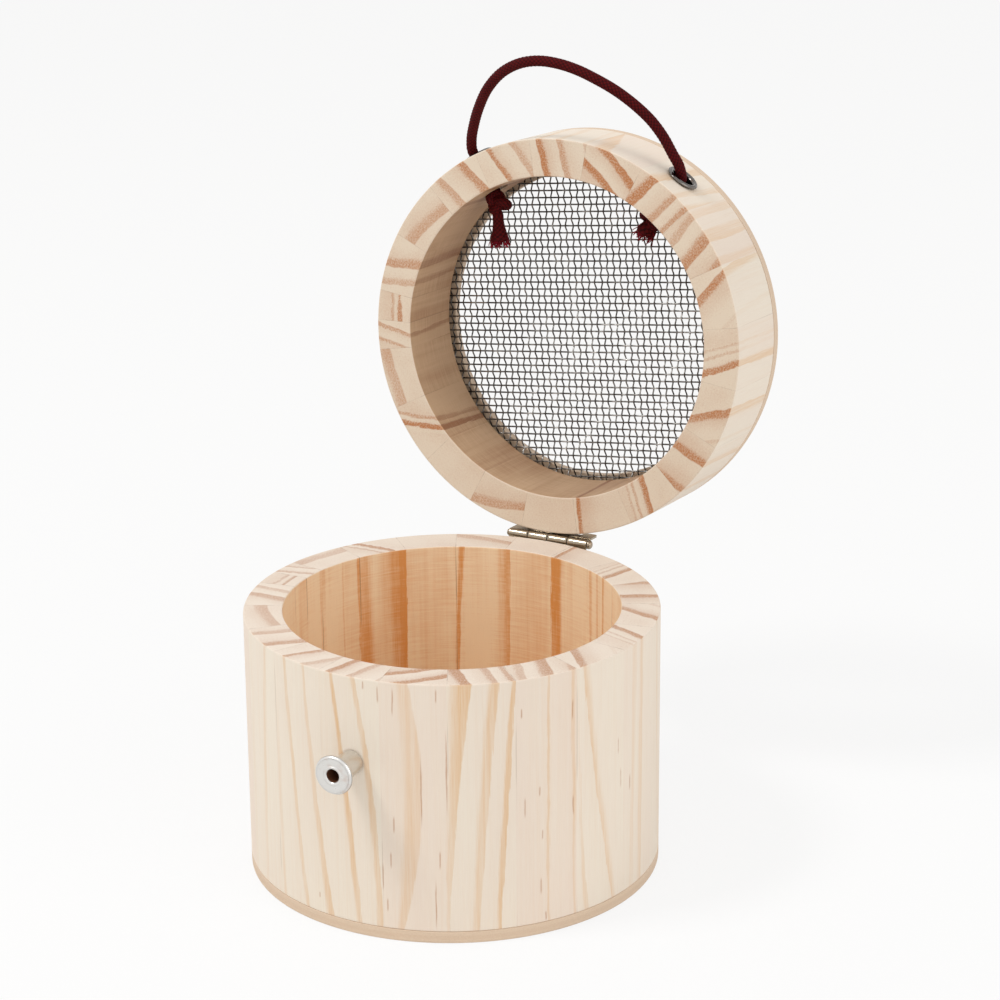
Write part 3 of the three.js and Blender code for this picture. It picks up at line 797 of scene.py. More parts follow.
def ply(wood):
    """Sanded three-layer ply. The field sheet holds the place along and across the face veneer and
    through the plate, in millimetres, with the height of a layer as its unit of depth."""
    tint = settings().colours
    sheet = wood.field("sheet")
    face = wood.number("face")
    depth = wood.parts(sheet)[2]
    grain = wood.noise(sheet, (0.04, 1.1, 1), 3)
    fibre = wood.noise(sheet, (0.3, 6, 3), 3, 0.6)
    core = depth.rise(0.98, 1.06) * (1 - depth.rise(1.94, 2.02))
    veneer = wood.mixed(grain.sway(0.9, 0.45), tint.veneer, tint.tan)
    speck = wood.noise(sheet, (2.6, 2.6, 8), 3, 0.6)
    edge = wood.mixed(core * 0.12 + speck.sway(0.8, 0.4), tint.veneer, tint.ply_core)
    shade = wood.mixed(face, edge, veneer)
    shade = wood.mixed(fibre.sway(0.25, 0.42), shade, tint.fleck)
    wood.surface({
        "Base Color": shade,
        "Roughness": 0.66 + fibre.sway(0.15),
        "Normal": wood.bump(fibre + speck * 0.3, 0.06 * MM, 0.6),
    })


def plated(colour_name, roughness):
    """A recipe for worn bright plate: fine handling marks, a little tarnish, and a bore painted dark
    brown as its shade.
    """
    def recipe(metal):
        place = metal.place()
        marks = metal.noise(place, (0.7, 9, 3), 3, 0.6)
        tarnish = metal.noise(place, (0.5, 0.5, 0.5), 3)
        tint = getattr(settings().colours, colour_name)
        worn = metal.mixed(tarnish.rise(0.5, 0.8) * 0.25, tint, settings().colours.fleck)
        # The bore field marks the stud's hole, which is painted dark as its shade.
        bore = metal.number("bore")
        metal.surface({
            "Base Color": metal.mixed(bore, worn, settings().colours.stud_bore_painted_shade),
            "Metallic": 1 - bore,
            "Roughness": roughness + marks.sway(0.16) + tarnish.rise(0.5, 0.75) * 0.12,
            "Normal": metal.bump(marks, 0.006 * MM, 0.7),
        })
    return recipe


def drawn_wire(metal):
    """Drawn steel wire, coloured far darker than bare steel as a painted reflection of dark surroundings,
    with paler patches.
    """
    place = metal.place()
    patch = metal.noise(place, (0.35, 0.35, 0.35), 3)
    fine = metal.noise(place, (3, 3, 3), 2)
    tint = settings().colours
    metal.surface({
        "Base Color": metal.mixed(patch.rise(0.45, 0.75) * 0.5, tint.wire, tint.nickel),
        "Metallic": 1.0,
        "Roughness": 0.3 + fine.sway(0.25),
        "Normal": metal.bump(fine, 0.01 * MM, 0.5),
    })


def elastic(cloth):
    """Braided textile, painted darker between the strands as their shade, with fine yarns on their
    crowns.
    """
    tint = settings().colours
    relief = cloth.number("relief")
    place = cloth.place()
    yarn = cloth.noise(place, (9, 9, 9), 2, 0.6)
    patch = cloth.noise(place, (0.6, 0.6, 0.6), 2)
    # Painted shade in the braid's grooves: the relief field gives the crowns maroon and the grooves the
    # darker colour.
    crown = relief.rise(0.15, 0.95) * (patch.sway(0.5) + 0.75)
    shade = cloth.mixed(crown, tint.maroon_shade, tint.maroon)
    shade = cloth.mixed(yarn.sway(0.4), shade, tint.thread)
    cloth.surface({
        "Base Color": shade,
        "Roughness": 0.8 + yarn.sway(0.2),
        "Specular IOR Level": 0.12,
        "Normal": cloth.bump(yarn, 0.04 * MM, 0.6),
    })


def loose_thread(cloth):
    """Threads of the cut braid, lighter than the cord."""
    tint = settings().colours
    change = cloth.noise(cloth.place(), (1.2, 1.2, 1.2), 2)
    cloth.surface({
        "Base Color": cloth.mixed(change.rise(0.3, 0.7), tint.maroon, tint.thread),
        "Roughness": 0.8 + change.sway(0.2),
        "Specular IOR Level": 0.15,
        "Normal": cloth.bump(change, 0.03 * MM, 0.4),
    })


def white_seen(shader, share):
    """1 for what the camera, reflections and glass see, times a share, and 0 for the light itself."""
    path = shader.node("ShaderNodeLightPath").outputs
    seen = Value(shader, path["Is Camera Ray"]).larger(path["Is Glossy Ray"])
    return seen.larger(path["Is Transmission Ray"]) * share


def pale_floor(shader):
    """A pale floor that the camera sees almost white."""
    pale = shader.node("ShaderNodeBsdfDiffuse", inputs={"Color": linear(236, 235, 233)})
    white = shader.node("ShaderNodeEmission", inputs={"Color": (1, 1, 1, 1), "Strength": 1.0})
    seen = white_seen(shader, 0.82)
    mix = shader.node("ShaderNodeMixShader", inputs={0: seen, 1: pale.outputs[0], 2: white.outputs[0]})
    shader.node("ShaderNodeOutputMaterial", inputs={"Surface": mix.outputs[0]})


FINISHES = {
    "cup_staves": pine("cup"),
    "lid_staves": pine("lid"),
    "ply_sheet": ply,
    "drawn_wire": drawn_wire,
    "braided_elastic": elastic,
    "loose_thread": loose_thread,
    "bright_nickel": plated("nickel", 0.2),
    # The hinge's nickel carries a painted reflection of the shaded wood round the barrel in its colour.
    "hinge_nickel": plated("hinge_nickel", 0.2),
    "stud_nickel": plated("nickel", 0.3),
    "eyelet_nickel": plated("dark_nickel", 0.18),
    "floor": pale_floor,
}


def finish(name):
    """The material of a finish, made the first time that it is asked for."""
    material = bpy.data.materials.get(name)
    if material is None:
        material = bpy.data.materials.new(name)
        material.use_nodes = True
        FINISHES[name](Shader(material.node_tree))
    return material


# Pine blank

def bent(head, middle, foot, share):
    """The parabola through three values, at a share of 1, 1/2 and 0 of the height."""
    foot_weight, head_weight = (1 - share) * (1 - 2 * share), share * (2 * share - 1)
    return foot * foot_weight + 4 * middle * share * (1 - share) + head * head_weight


def in_year(values, ring, start, stop):
    """Each year has the value of the edge before it up to start and of the next edge from stop on."""
    year = np.floor(ring).astype(int)
    share = np.clip((ring - year - start) / (stop - start), 0, 1)
    column = np.arange(len(ring)) if values.shape[1] > 1 else 0
    return values[year, column] * (1 - share) + values[year + 1, column] * share


def with_plain_ends(table, shape, end):
    """A table of the edges' values, with a row of one value before it and after it."""
    row = np.full((1, shape[1]), float(end))
    return np.vstack([row, np.broadcast_to(table, shape), row])


def ring_fields(level, edges, before, after, dark):
    """Where points lie between the edges of the late wood. Rows of the tables are edges from left to
    right: the place of each, the width of late wood before and after it, and its darkness. The ring
    is the count of edges to the left, with a fraction that goes evenly from edge to edge. The fields
    are ring, darkness and width of the late wood ahead, the same two behind, and rings to the mm."""
    before, after = (with_plain_ends(table, edges.shape, 1) for table in (before, after))
    dark = with_plain_ends(dark, edges.shape, 0)
    edges = np.vstack([edges[:1] - PLAIN_RING, edges, edges[-1:] + PLAIN_RING])
    gaps = np.diff(edges, axis=0)
    ring = np.sum(np.clip((level - edges[:-1]) / gaps, 0, 1), 0)
    ring = np.clip(ring, 0, len(gaps) - 0.001)
    gaps_before, gaps_after = np.vstack([gaps[:1], gaps]), np.vstack([gaps, gaps[-1:]])
    return np.stack([
        ring,
        in_year(dark, ring, *AHEAD),
        in_year(before / gaps_before, ring, *AHEAD),
        in_year(dark, ring, *BEHIND),
        in_year(after / gaps_after, ring, *BEHIND),
        1 / in_year(gaps_after, ring, *AT_EDGE),
    ])


def streak_fields(streaks, degrees, share, radius):
    """The same fields on a wall of the cup, where each streak has its own listed path. The share
    is that of the wall's height."""
    paths, widths, fades, darks = (np.array(column, float) for column in zip(*streaks))
    paths, widths = (bent(*table.T[:, :, None], share) for table in (paths, widths))
    darks = darks[:, 1:] * (1 - share) + darks[:, :1] * share
    level, edges = radius * np.radians(degrees), radius * np.radians(paths)
    return ring_fields(level, edges, widths, fades[:, None], darks)


def canal_fields(degrees, height, face_degrees, face_height, radius):
    """For the listed resin canal that is nearest to the middle of a corner's face: the distance
    across it, the place along it from -1 to 1, and 1 where it is near enough to be drawn. Nearness
    counts the millimetres past a canal's end less than those beside it."""
    end_weight, reach_aside, reach_beyond = 0.3, 1.5, 3
    turns, feet, heads = np.array(CANALS, float).T[:, :, None]
    middle, half = (feet + heads) / 2, (heads - feet) / 2
    aside = radius * np.radians(np.abs(face_degrees - turns))
    beyond = np.maximum(np.abs(face_height - middle) - half, 0)
    nearest = np.argmin(aside + end_weight * beyond, 0)
    point = np.arange(len(degrees))
    near = (aside[nearest, point] < reach_aside) & (beyond[nearest, point] < reach_beyond)
    across = radius * np.radians(degrees - turns[nearest, 0])
    along = (height - middle[nearest, 0]) / half[nearest, 0]
    return np.stack([across, along, near], -1)


def corner_places(mesh):
    """For each face corner, its point in millimetres and the normal there."""
    corner = np.empty(len(mesh.loops), np.int32)
    mesh.loops.foreach_get("vertex_index", corner)
    normals = np.empty(len(mesh.vertices) * 3, np.float32)
    mesh.vertices.foreach_get("normal", normals)
    return (vertex_places(mesh) / MM)[corner], normals.reshape(-1, 3)[corner]


def face_places(mesh):
    """For each face corner, the middle of its face in millimetres and the way that the face looks."""
    centres, facing = np.empty((2, len(mesh.polygons) * 3), np.float32)
    mesh.polygons.foreach_get("center", centres)
    mesh.polygons.foreach_get("normal", facing)
    totals = np.empty(len(mesh.polygons), np.int32)
    mesh.polygons.foreach_get("loop_total", totals)
    return [np.repeat(table.reshape(-1, 3), totals, axis=0) for table in (centres / MM, facing)]


def degrees_round(x, y, turn):
    """Degrees from the front, -Y, less a turn of the piece in radians."""
    return np.degrees(np.arctan2(x, -y)) - math.degrees(turn)


def half_turns(degrees):
    """The same angles between -180 and 180."""
    return (degrees + 180) % 360 - 180


def own_staves(degrees):
    """The stave at each angle, its middle and half its width in degrees."""
    first = STAVES[0][0]
    starts = np.array([row[0] for row in STAVES])
    ends = np.append(starts[1:], first + 360)
    stave = np.searchsorted(starts, (degrees - first) % 360 + first, "right") - 1
    return stave, (starts + ends)[stave] / 2, (ends - starts)[stave] / 2


def growth_rings(stave, u, depth, height):
    """The fields where rings are the even steps of u cos t + d sin t + bend u^2, leant by their own
    amount at height h."""
    fields = np.zeros((6, len(stave)))
    for k, (_, direction, bend, lean, bow, _, rings) in enumerate(STAVES):
        own = stave == k
        leant = u[own] - lean * height[own] - bow * height[own] ** 2
        turn = math.radians(direction)
        level = leant * math.cos(turn) + depth[own] * math.sin(turn) + bend * u[own] ** 2
        edges, widths, darkness = np.array(rings, float).T[:, :, None]
        fields[:, own] = ring_fields(level, edges, widths, STAVE_FADE, darkness)
    return fields


def stave_fields(piece, base_height, turn, wall=None):
    """Writes where each face corner lies in its stave, with u across the stave and d in from the
    outside, both in millimetres. A wall is the foot and the head of the cup: between them its outside
    and its inside have their listed streaks in place of the stave's rings."""
    mesh = piece.data
    outer = settings().blank.radius / MM
    inner = outer - settings().blank.wall / MM
    points, normals = corner_places(mesh)
    centres, facing = face_places(mesh)
    x, y, z = points.T
    degrees = degrees_round(x, y, turn)
    face_degrees = degrees_round(*centres[:, :2].T, turn)
    stave, middle, half = own_staves(face_degrees)
    radius, height = np.hypot(x, y), z - base_height / MM
    across = half_turns(degrees - middle)
    u, depth = radius * np.radians(across), outer - radius
    fields = growth_rings(stave, u, depth, height)
    canals = np.zeros((len(stave), 3))

    upright = np.abs(facing[:, 2]) < 0.75
    reach = np.hypot(*centres[:, :2].T)
    outside, inside = (reach > outer - SKIN) & upright, (reach < inner + SKIN) & upright
    if wall:
        foot, head = wall
        share = (z - foot) / (head - foot)
        face_degrees = half_turns(face_degrees)
        degrees = face_degrees + half_turns(degrees - face_degrees)
        for streaks, own, face_radius in ((STREAKS, outside, outer), (BORE_STREAKS, inside, inner)):
            fields[:, own] = streak_fields(streaks, degrees[own], share[own], face_radius)
        places = (values[outside] for values in (degrees, z, face_degrees, centres[:, 2]))
        canals[outside] = canal_fields(*places, outer)
    else:
        fields[1, outside] *= LID_OUTSIDE
        fields[3, outside] *= LID_OUTSIDE

    end_grain = np.abs(normals[:, 2]) ** 2
    bored = np.clip((depth - (outer - inner) + SKIN) / 0.5, 0, 1) * (end_grain < 0.5)
    blush = np.array([row[5] for row in STAVES])[stave]
    to_joint = radius * np.radians(half - np.abs(across))
    write_field(mesh, "ring", fields[:3].T, "CORNER")
    write_field(mesh, "trail", fields[3:].T, "CORNER")
    write_field(mesh, "canal", canals, "CORNER")
    write_field(mesh, "grain", np.stack([u + GRAIN_SHIFT * stave, depth, height], -1), "CORNER")
    write_field(mesh, "stave", np.stack([to_joint, blush, end_grain], -1), "CORNER")
    write_field(mesh, "inside", bored, "CORNER")


def bore(name, radius, low, high, turn, height):
    """A plain round tool through the wall, from low to high outside the wall's face."""
    tool = turned(name, [(0, low), (radius, low), (radius, high), (0, high)], columns=64)
    return move(tool, lambda points: on_wall(points, turn, height, settings().blank.radius))


def make_cup():
    """The cup: a turned wall on the ply bottom, bored for the stud's spigot."""
    blank = settings().blank
    inner = blank.radius - blank.wall
    low, high = CUP_LOW.z, CUP_HIGH.z
    corners = [(inner, low), (blank.radius, low), (blank.radius, high), (inner, high)]
    cuts = [0.3 * MM, blank.ease, blank.ease, blank.ease]
    cup = turned("pine_cup", refined(eased(corners, cuts), step=2.4 * MM), columns=360)
    height = settings().hardware.stud_height
    spigot = bore("spigot_bore", radius=2.1 * MM, low=-7.5 * MM, high=3 * MM, turn=0, height=height)
    faced(cut(cup, spigot))
    stave_fields(cup, high, blank.cup_turn, (low / MM, high / MM))
    return placed(cup, "cup", "pine", "cup_staves", "base_wall")


def make_lid_ring():
    """The lid's ring: the same wall with a rebate for the wire cloth and two eyelet holes."""
    blank, hardware = settings().blank, settings().hardware
    inner, high = blank.radius - blank.wall, blank.lid_height
    rebate, floor = inner + blank.rebate_width, high - blank.rebate_depth
    corners = [
        (inner, 0), (blank.radius, 0), (blank.radius, high),
        (rebate, high), (rebate, floor), (inner, floor),
    ]
    cuts = [blank.ease, blank.ease, 0.3 * MM, 0.15 * MM, 0, 0.15 * MM]
    ring = turned("pine_lid_ring", refined(eased(corners, cuts), step=1.6 * MM), columns=360)
    height = hardware.eyelet_height
    hole = {"radius": 3.3 * MM, "low": -2 * blank.wall, "high": 2 * MM, "height": height}
    left = bore("eyelet_bore_left", turn=-hardware.eyelet_angle, **hole)
    right = bore("eyelet_bore_right", turn=hardware.eyelet_angle, **hole)
    faced(cut(ring, left, right))
    stave_fields(ring, 0, 0)
    move(ring, lid_to_row)
    return placed(ring, "lid", "pine", "lid_staves", "lid_ring")


# Ply plates

def sheet_fields(piece, low, thickness):
    """Writes the place on the sheet of ply, with depth in layers from 0 to 3, and what is face."""
    points = vertex_places(piece.data)
    place = points / MM
    layers = 3
    place[:, 2] = np.clip((points[:, 2] - low) / thickness, 0, 1) * layers
    write_field(piece.data, "sheet", place, "POINT")
    normals = np.empty(len(points) * 3, np.float32)
    piece.data.vertices.foreach_get("normal", normals)
    write_field(piece.data, "face", np.abs(normals.reshape(-1, 3)[:, 2]) ** 2, "POINT")


def make_bottom():
    """The cup's bottom: a ply disc, flush with the wall outside."""
    blank = settings().blank
    corners = [(0, 0), (blank.radius, 0), (blank.radius, CUP_LOW.z), (0, CUP_LOW.z)]
    outline = eased(corners, [0, 0.5 * MM, 0.25 * MM, 0], closed=False)
    disc = faced(turned("ply_bottom", refined(outline, step=3 * MM, closed=False), columns=180))
    sheet_fields(disc, 0, CUP_LOW.z)
    return placed(disc, "cup", "ply", "ply_sheet", "bottom_plate")


def make_ply_ring():
    """The ply ring that is glued over the wire cloth."""
    blank = settings().blank
    low = blank.lid_height + blank.seat
    high = low + blank.ring_thickness
    inner = blank.radius - blank.ring_width
    corners = [(inner, low), (blank.radius, low), (blank.radius, high), (inner, high)]
    outline = refined(eased(corners, cuts=0.25 * MM), step=1.5 * MM)
    ring = faced(turned("ply_ring", outline, columns=240))
    sheet_fields(ring, low, blank.ring_thickness)
    move(ring, lid_to_row)
    return placed(ring, "lid", "ply", "ply_sheet", "mesh_retainer")


# Wire cloth

def wires(name, upright):
    """One family of wires of a plain weave. Wire i lies at i times the pitch p, cut to the disc, and
    waves as A cos(pi s/p + pi i), against the other family where they cross."""
    blank, cloth = settings().blank, settings().wire
    reach = blank.radius - blank.wall + blank.rebate_width - blank.seat
    half_cloth, shortest, steps_per_pitch = 0.45 * MM, 0.4 * MM, 4
    middle = blank.lid_height - blank.rebate_depth + blank.seat + half_cloth
    count = int((reach - shortest) / cloth.pitch)
    index = np.arange(-count, count + 1)
    across = (index * cloth.pitch)[:, None]
    steps = 2 * steps_per_pitch * count + 1
    along = np.sqrt(reach ** 2 - across ** 2) * np.linspace(-1, 1, steps)
    crimp = cloth.warp_crimp if upright else -cloth.weft_crimp
    wave = crimp * np.cos(np.pi * (along / cloth.pitch + index[:, None]))
    across = np.broadcast_to(across, along.shape)
    x, y = (across, along) if upright else (along, across)
    cos, sin = math.cos(cloth.turn), math.sin(cloth.turn)
    paths = lid_to_row(np.stack([x * cos - y * sin, x * sin + y * cos, middle + wave], -1))
    side = lid_to_row((0, 0, 1)) - lid_to_row((0, 0, 0))
    return faced(tubes(name, paths, cloth.thickness / 2, sides=6, side=side), sharp=75)


def make_wire_cloth():
    """The disc of wire cloth: crimped upright wires and almost straight level ones."""
    placed(wires("wire_warp", True), "lid", "wire", "drawn_wire", "wire_mesh")
    placed(wires("wire_weft", False), "lid", "wire", "drawn_wire", "wire_mesh")


# Elastic cord

def make_cord():
    """The free cord from knot to knot, through both eyelets."""
    cord = settings().cord
    route = evenly(smooth_route(lid_to_row(CORD_POINTS)), CORD_STEP)
    radii = np.full(len(route), cord.diameter / 2)
    return faced(braided("elastic_cord", route, radii, sides=48, side=(0, 1, 0)), sharp=180)


def knot_route(side):
    """Route of an overhand knot: in from the eyelet, once round the trefoil
    (sin t + 1.6 sin 2t, cos t - 1.6 cos 2t, sin 3t), cut at its lowest lobe, and down into the tail."""
    degrees, height, loop_lean, tail_length, _ = KNOTS[side]
    turn, lean = math.radians(degrees), math.radians(loop_lean)
    start = np.array(CORD_POINTS[0 if side < 0 else -1])
    from_wall = 2.9 * MM
    radius = settings().blank.radius - settings().blank.wall - from_wall
    middle = np.array([radius * math.sin(turn), -radius * math.cos(turn), height * MM])
    entry, centre = lid_to_row([start, middle])

    cut_away = 0.35
    t = np.linspace(math.pi + cut_away, 3 * math.pi - cut_away, 26)
    x, y = np.sin(t) + 1.6 * np.sin(2 * t), np.cos(t) - 1.6 * np.cos(2 * t)
    cos, sin = math.cos(lean), math.sin(lean)
    loop = np.stack([x * cos - y * sin, np.sin(3 * t), x * sin + y * cos], -1)
    lobes = (1.04, 0.95, 0.84)
    loop = loop * (-side, 1, 1) * lobes

    into = np.array([(2.0 * side, 1.7, 1.4), (1.9 * side, 1.9, -0.6)])
    down, _ = tail_axes(side)
    below_knot, above_fray, step = 2.9, 1.7, 1.3
    steps = np.arange(below_knot, tail_length - above_fray, step)[:, None]
    tail = down * steps + (0, -0.5, 0)
    return np.vstack([entry, centre + np.vstack([into, loop, tail]) * MM])


def tail_axes(side):
    """Unit vectors down a knot's tail and to the right of it."""
    _, _, _, _, tail_lean = KNOTS[side]
    cos, sin = math.cos(math.radians(tail_lean)), math.sin(math.radians(tail_lean))
    return np.array([-sin, 0, -cos]), np.array([cos, 0, -sin])


def make_knot(side, name, node):
    """An overhand knot drawn tight, its tail and the tail's frayed threads. The cord thins to its drawn
    radius in the knot, is free again in the tail, and swells where the tail bursts open."""
    cord = settings().cord
    _, _, _, tail_length, _ = KNOTS[side]
    route = evenly(smooth_route(knot_route(side), per_span=12), CORD_STEP)
    along = distances(route)
    left = along[-1] - along
    relaxed, drawn = cord.diameter / 2 + 0.1 * MM, cord.drawn / 2
    lead, free, slack, burst = 2.5 * MM, (tail_length - 5.4) * MM, 2 * MM, 5 * MM
    grip = np.clip(along / lead, 0, 1) * np.clip((left - free) / slack, 0, 1)
    radii = relaxed + (drawn - relaxed) * grip ** 2 * (3 - 2 * grip)
    radii = radii + MM * np.clip(1 - left / burst, 0, 1) ** 1.6
    knot = faced(braided(name, route, radii, sides=40, side=(0.2, 1, 0.1)), sharp=180)
    placed(knot, "lid", "elastic", "braided_elastic", node)
    fray = frayed(f"{name}_fray", route[-1], side)
    placed(fray, "lid", "elastic", "loose_thread")
    return knot, fray


def frayed(name, end, side):
    """Loose threads of a cut end: each starts in a disc and runs down, spreading with the square of
    its length and curling a little on its own circle. Sizes are in millimetres."""
    random = np.random.default_rng(17 + side)
    count, steps, disc, flat, rooted, curl, thread = 110, 12, 2.3, 0.8, 1.2, 0.3, 0.11
    turn = random.uniform(0, 2 * np.pi, count)[:, None]
    start = (disc * np.sqrt(random.uniform(0, 1, count)))[:, None]
    reach = random.uniform(1.8, 3.4, count)[:, None]
    spread = random.uniform(-0.2, 1, count)[:, None]
    phase = random.uniform(0, 2 * np.pi, count)[:, None]
    t = np.linspace(0, 1, steps)
    radius = start + spread * t ** 2
    x = radius * np.cos(turn) + curl * np.sin(4 * t + phase) * t
    y = radius * np.sin(turn) * flat + curl * np.cos(3 * t + phase) * t
    down, right = tail_axes(side)
    ahead = reach * t - rooted
    paths = x[..., None] * right + y[..., None] * (0, 1, 0) + ahead[..., None] * down
    threads = tubes(name, end + paths * MM, thread * MM, sides=5, side=(0.3, 1, 0))
    return faced(threads, sharp=180)


# Hinge

def hinge_place(lid):
    """Where points of a leaf's frame go: barrel along X, leaf towards -Z, wood at -Y."""
    offset = settings().hardware.hinge_offset

    def place(points):
        if lid:
            return lid_to_row(points * (-1, 1, -1) + (offset, HINGE_Y, -HALF_JOINT_GAP))
        return points + (offset, HINGE_Y, HINGE_Z)

    return place


def knuckle_spans(first):
    """The two stretches of the barrel where a leaf has its knuckles, of the four from the left."""
    barrel = settings().hardware.hinge_length
    knuckle = (barrel - 3 * KNUCKLE_GAP) / 4
    step = knuckle + KNUCKLE_GAP
    starts = (-barrel / 2 + first * step, -barrel / 2 + (first + 2) * step)
    return [(start, start + knuckle) for start in starts]


def leaf_sheet(name, first):
    """A hinge leaf before it gets its thickness. Going up the sheet it is straight to the level of the
    axis, and then runs round the axis as (-r cos b, r sin b), where the barrel has a knuckle."""
    hardware = settings().hardware
    half, corner, wrap = hardware.hinge_length / 2, 0.8 * MM, 282
    spans = knuckle_spans(first)
    stops = sorted({-half, *(edge for span in spans for edge in span), half})
    stops = [a for a, b in zip(stops, stops[1:]) if b - a > 1e-6] + [half]
    ease = corner * (1 - np.cos(np.linspace(0, np.pi / 2, 7)))
    between = [np.linspace(a, b, 9) for a, b in zip(stops, stops[1:])]
    xs = np.unique(np.round(np.concatenate([*between, -half + ease, half - ease]), 7))

    inset = np.clip(corner - (half - np.abs(xs)), 0, None)
    foot = -hardware.leaf_height + corner - np.sqrt(corner ** 2 - inset ** 2)
    radius = hardware.barrel - hardware.leaf / 2
    top = -(hardware.barrel + KNUCKLE_GAP)
    share = np.linspace(0, 1, 7)[:, None]
    plate = foot + (top - foot) * share
    neck = np.full((1, len(xs)), top / 2)
    heights = np.vstack([plate, neck])
    bend = np.radians(np.linspace(0, wrap, 37))[:, None]
    y = np.vstack([np.full(heights.shape, -radius), -radius * np.cos(bend) + 0 * xs])
    z = np.vstack([heights, radius * np.sin(bend) + 0 * xs])
    points = np.stack([np.broadcast_to(xs, y.shape), y, z], -1)

    middle = (xs[:-1] + xs[1:]) / 2
    rolled = np.any([(middle > a) & (middle < b) for a, b in spans], 0)
    keep = (np.arange(len(y) - 1) < len(share) - 1)[:, None] | rolled
    faces = grid_faces(*y.shape)[keep.ravel()]
    used, faces = np.unique(faces, return_inverse=True)
    return new_piece(name, points.reshape(-1, 3)[used], faces.reshape(-1, 4))


def screw_places():
    """Where a leaf's left and right screws sit on its face."""
    hardware = settings().hardware
    x, face = hardware.screw_spacing / 2, hardware.leaf - hardware.barrel
    return [(-x, face, -hardware.screw_row), (x, face, -hardware.screw_row)]


def leafward(points, place):
    """Points made about +Z, turned so that +Z points away from the wood, at a screw's place."""
    x, y, z = np.moveaxis(points, -1, 0)
    return np.stack([x, z, -y], -1) + place


def make_leaf(name, first, lid, node):
    """A hinge leaf of rolled plate with two countersunk holes."""
    hardware = settings().hardware
    leaf = leaf_sheet(name, first)
    thick = leaf.modifiers.new("thickness", "SOLIDIFY")
    thick.thickness = hardware.leaf
    thick.offset = 0
    soft = leaf.modifiers.new("edges", "BEVEL")
    soft.width = 0.1 * MM
    soft.segments = 2
    soft.limit_method = "ANGLE"
    soft.angle_limit = math.radians(50)
    faced(applied(leaf))
    shank, head = 0.95 * MM, hardware.screw_head + 0.15 * MM
    profile = [
        (0, -2 * MM), (shank, -2 * MM), (shank, -0.6 * MM),
        (head, 0.02 * MM), (head, MM), (0, MM),
    ]
    sinks = []
    for place in screw_places():
        sink = turned("sink", profile, columns=48)
        sinks.append(move(sink, lambda points, place=place: leafward(points, place)))
    faced(cut(leaf, *sinks), sharp=30)
    move(leaf, hinge_place(lid))
    return placed(leaf, "lid" if lid else "cup", "nickel", "hinge_nickel", node)


def recess_blade(quarter):
    """A wedge that cuts one bar of a cross recess, wide above and narrow below."""
    wide, thin, deep = 0.85 * MM, 0.17 * MM, 0.7 * MM
    top = [(-wide, -thin, MM), (wide, -thin, MM), (wide, thin, MM), (-wide, thin, MM)]
    foot = [(-thin, -thin, -deep), (thin, -thin, -deep), (thin, thin, -deep), (-thin, thin, -deep)]
    points = np.array(foot + top)
    if quarter:
        points = points[:, [1, 0, 2]]
    around = np.arange(4)
    walls = np.stack([around, (around + 1) % 4, (around + 1) % 4 + 4, around + 4], -1)
    return new_piece("recess", points, np.array([(3, 2, 1, 0), (4, 5, 6, 7)]), walls)


def make_screw(name, place, lid, node):
    """A countersunk wood screw with a cross recess, driven to a turn of its own."""
    head = settings().hardware.screw_head
    edge = head - 0.1 * MM
    corners = [
        (0, -7 * MM), (0.7 * MM, -5.4 * MM), (0.7 * MM, -0.7 * MM), (edge, -0.12 * MM),
        (edge, 0.02 * MM), (0.8 * head, 0.1 * MM), (0, 0.14 * MM),
    ]
    cuts = [0, 0.3 * MM, 0.2 * MM, 0.03 * MM, 0.03 * MM, 0.2 * MM, 0]
    screw = faced(turned(name, eased(corners, cuts, steps=4, closed=False), columns=48))
    faced(cut(screw, recess_blade(0), recess_blade(1)), sharp=30)
    turn = 0.6 + 137 * place[0] / MM + 2.1 * lid
    cos, sin = math.cos(turn), math.sin(turn)
    spin = np.array([(cos, sin, 0), (-sin, cos, 0), (0, 0, 1)])
    move(screw, lambda points: hinge_place(lid)(leafward(points @ spin, place)))
    return placed(screw, "lid" if lid else "cup", "nickel", "bright_nickel", node)


def make_pin():
    """The hinge pin, with a domed head at the right and a small upset at the left."""
    hardware = settings().hardware
    end, radius, head = hardware.hinge_length / 2 + 0.25 * MM, hardware.pin, 1.15 * MM
    corners = [
        (0, -end - 0.35 * MM), (radius + 0.25 * MM, -end - 0.3 * MM), (radius + 0.3 * MM, -end),
        (radius, -end), (radius, end),
        (head, end), (head, end + 0.4 * MM), (0.75 * MM, end + 0.95 * MM), (0, end + MM),
    ]
    cuts = [0, 0.1 * MM, 0.1 * MM, 0, 0, 0.12 * MM, 0.25 * MM, 0.4 * MM, 0]
    outline = eased(corners, cuts, steps=5, closed=False)
    pin = faced(turned("hinge_pin_steel", outline, columns=64))
    move(pin, lambda points: hinge_place(False)(points[:, [2, 0, 1]]))
    return placed(pin, "cup", "nickel", "hinge_nickel", "hinge_pin")


# Stud and eyelets

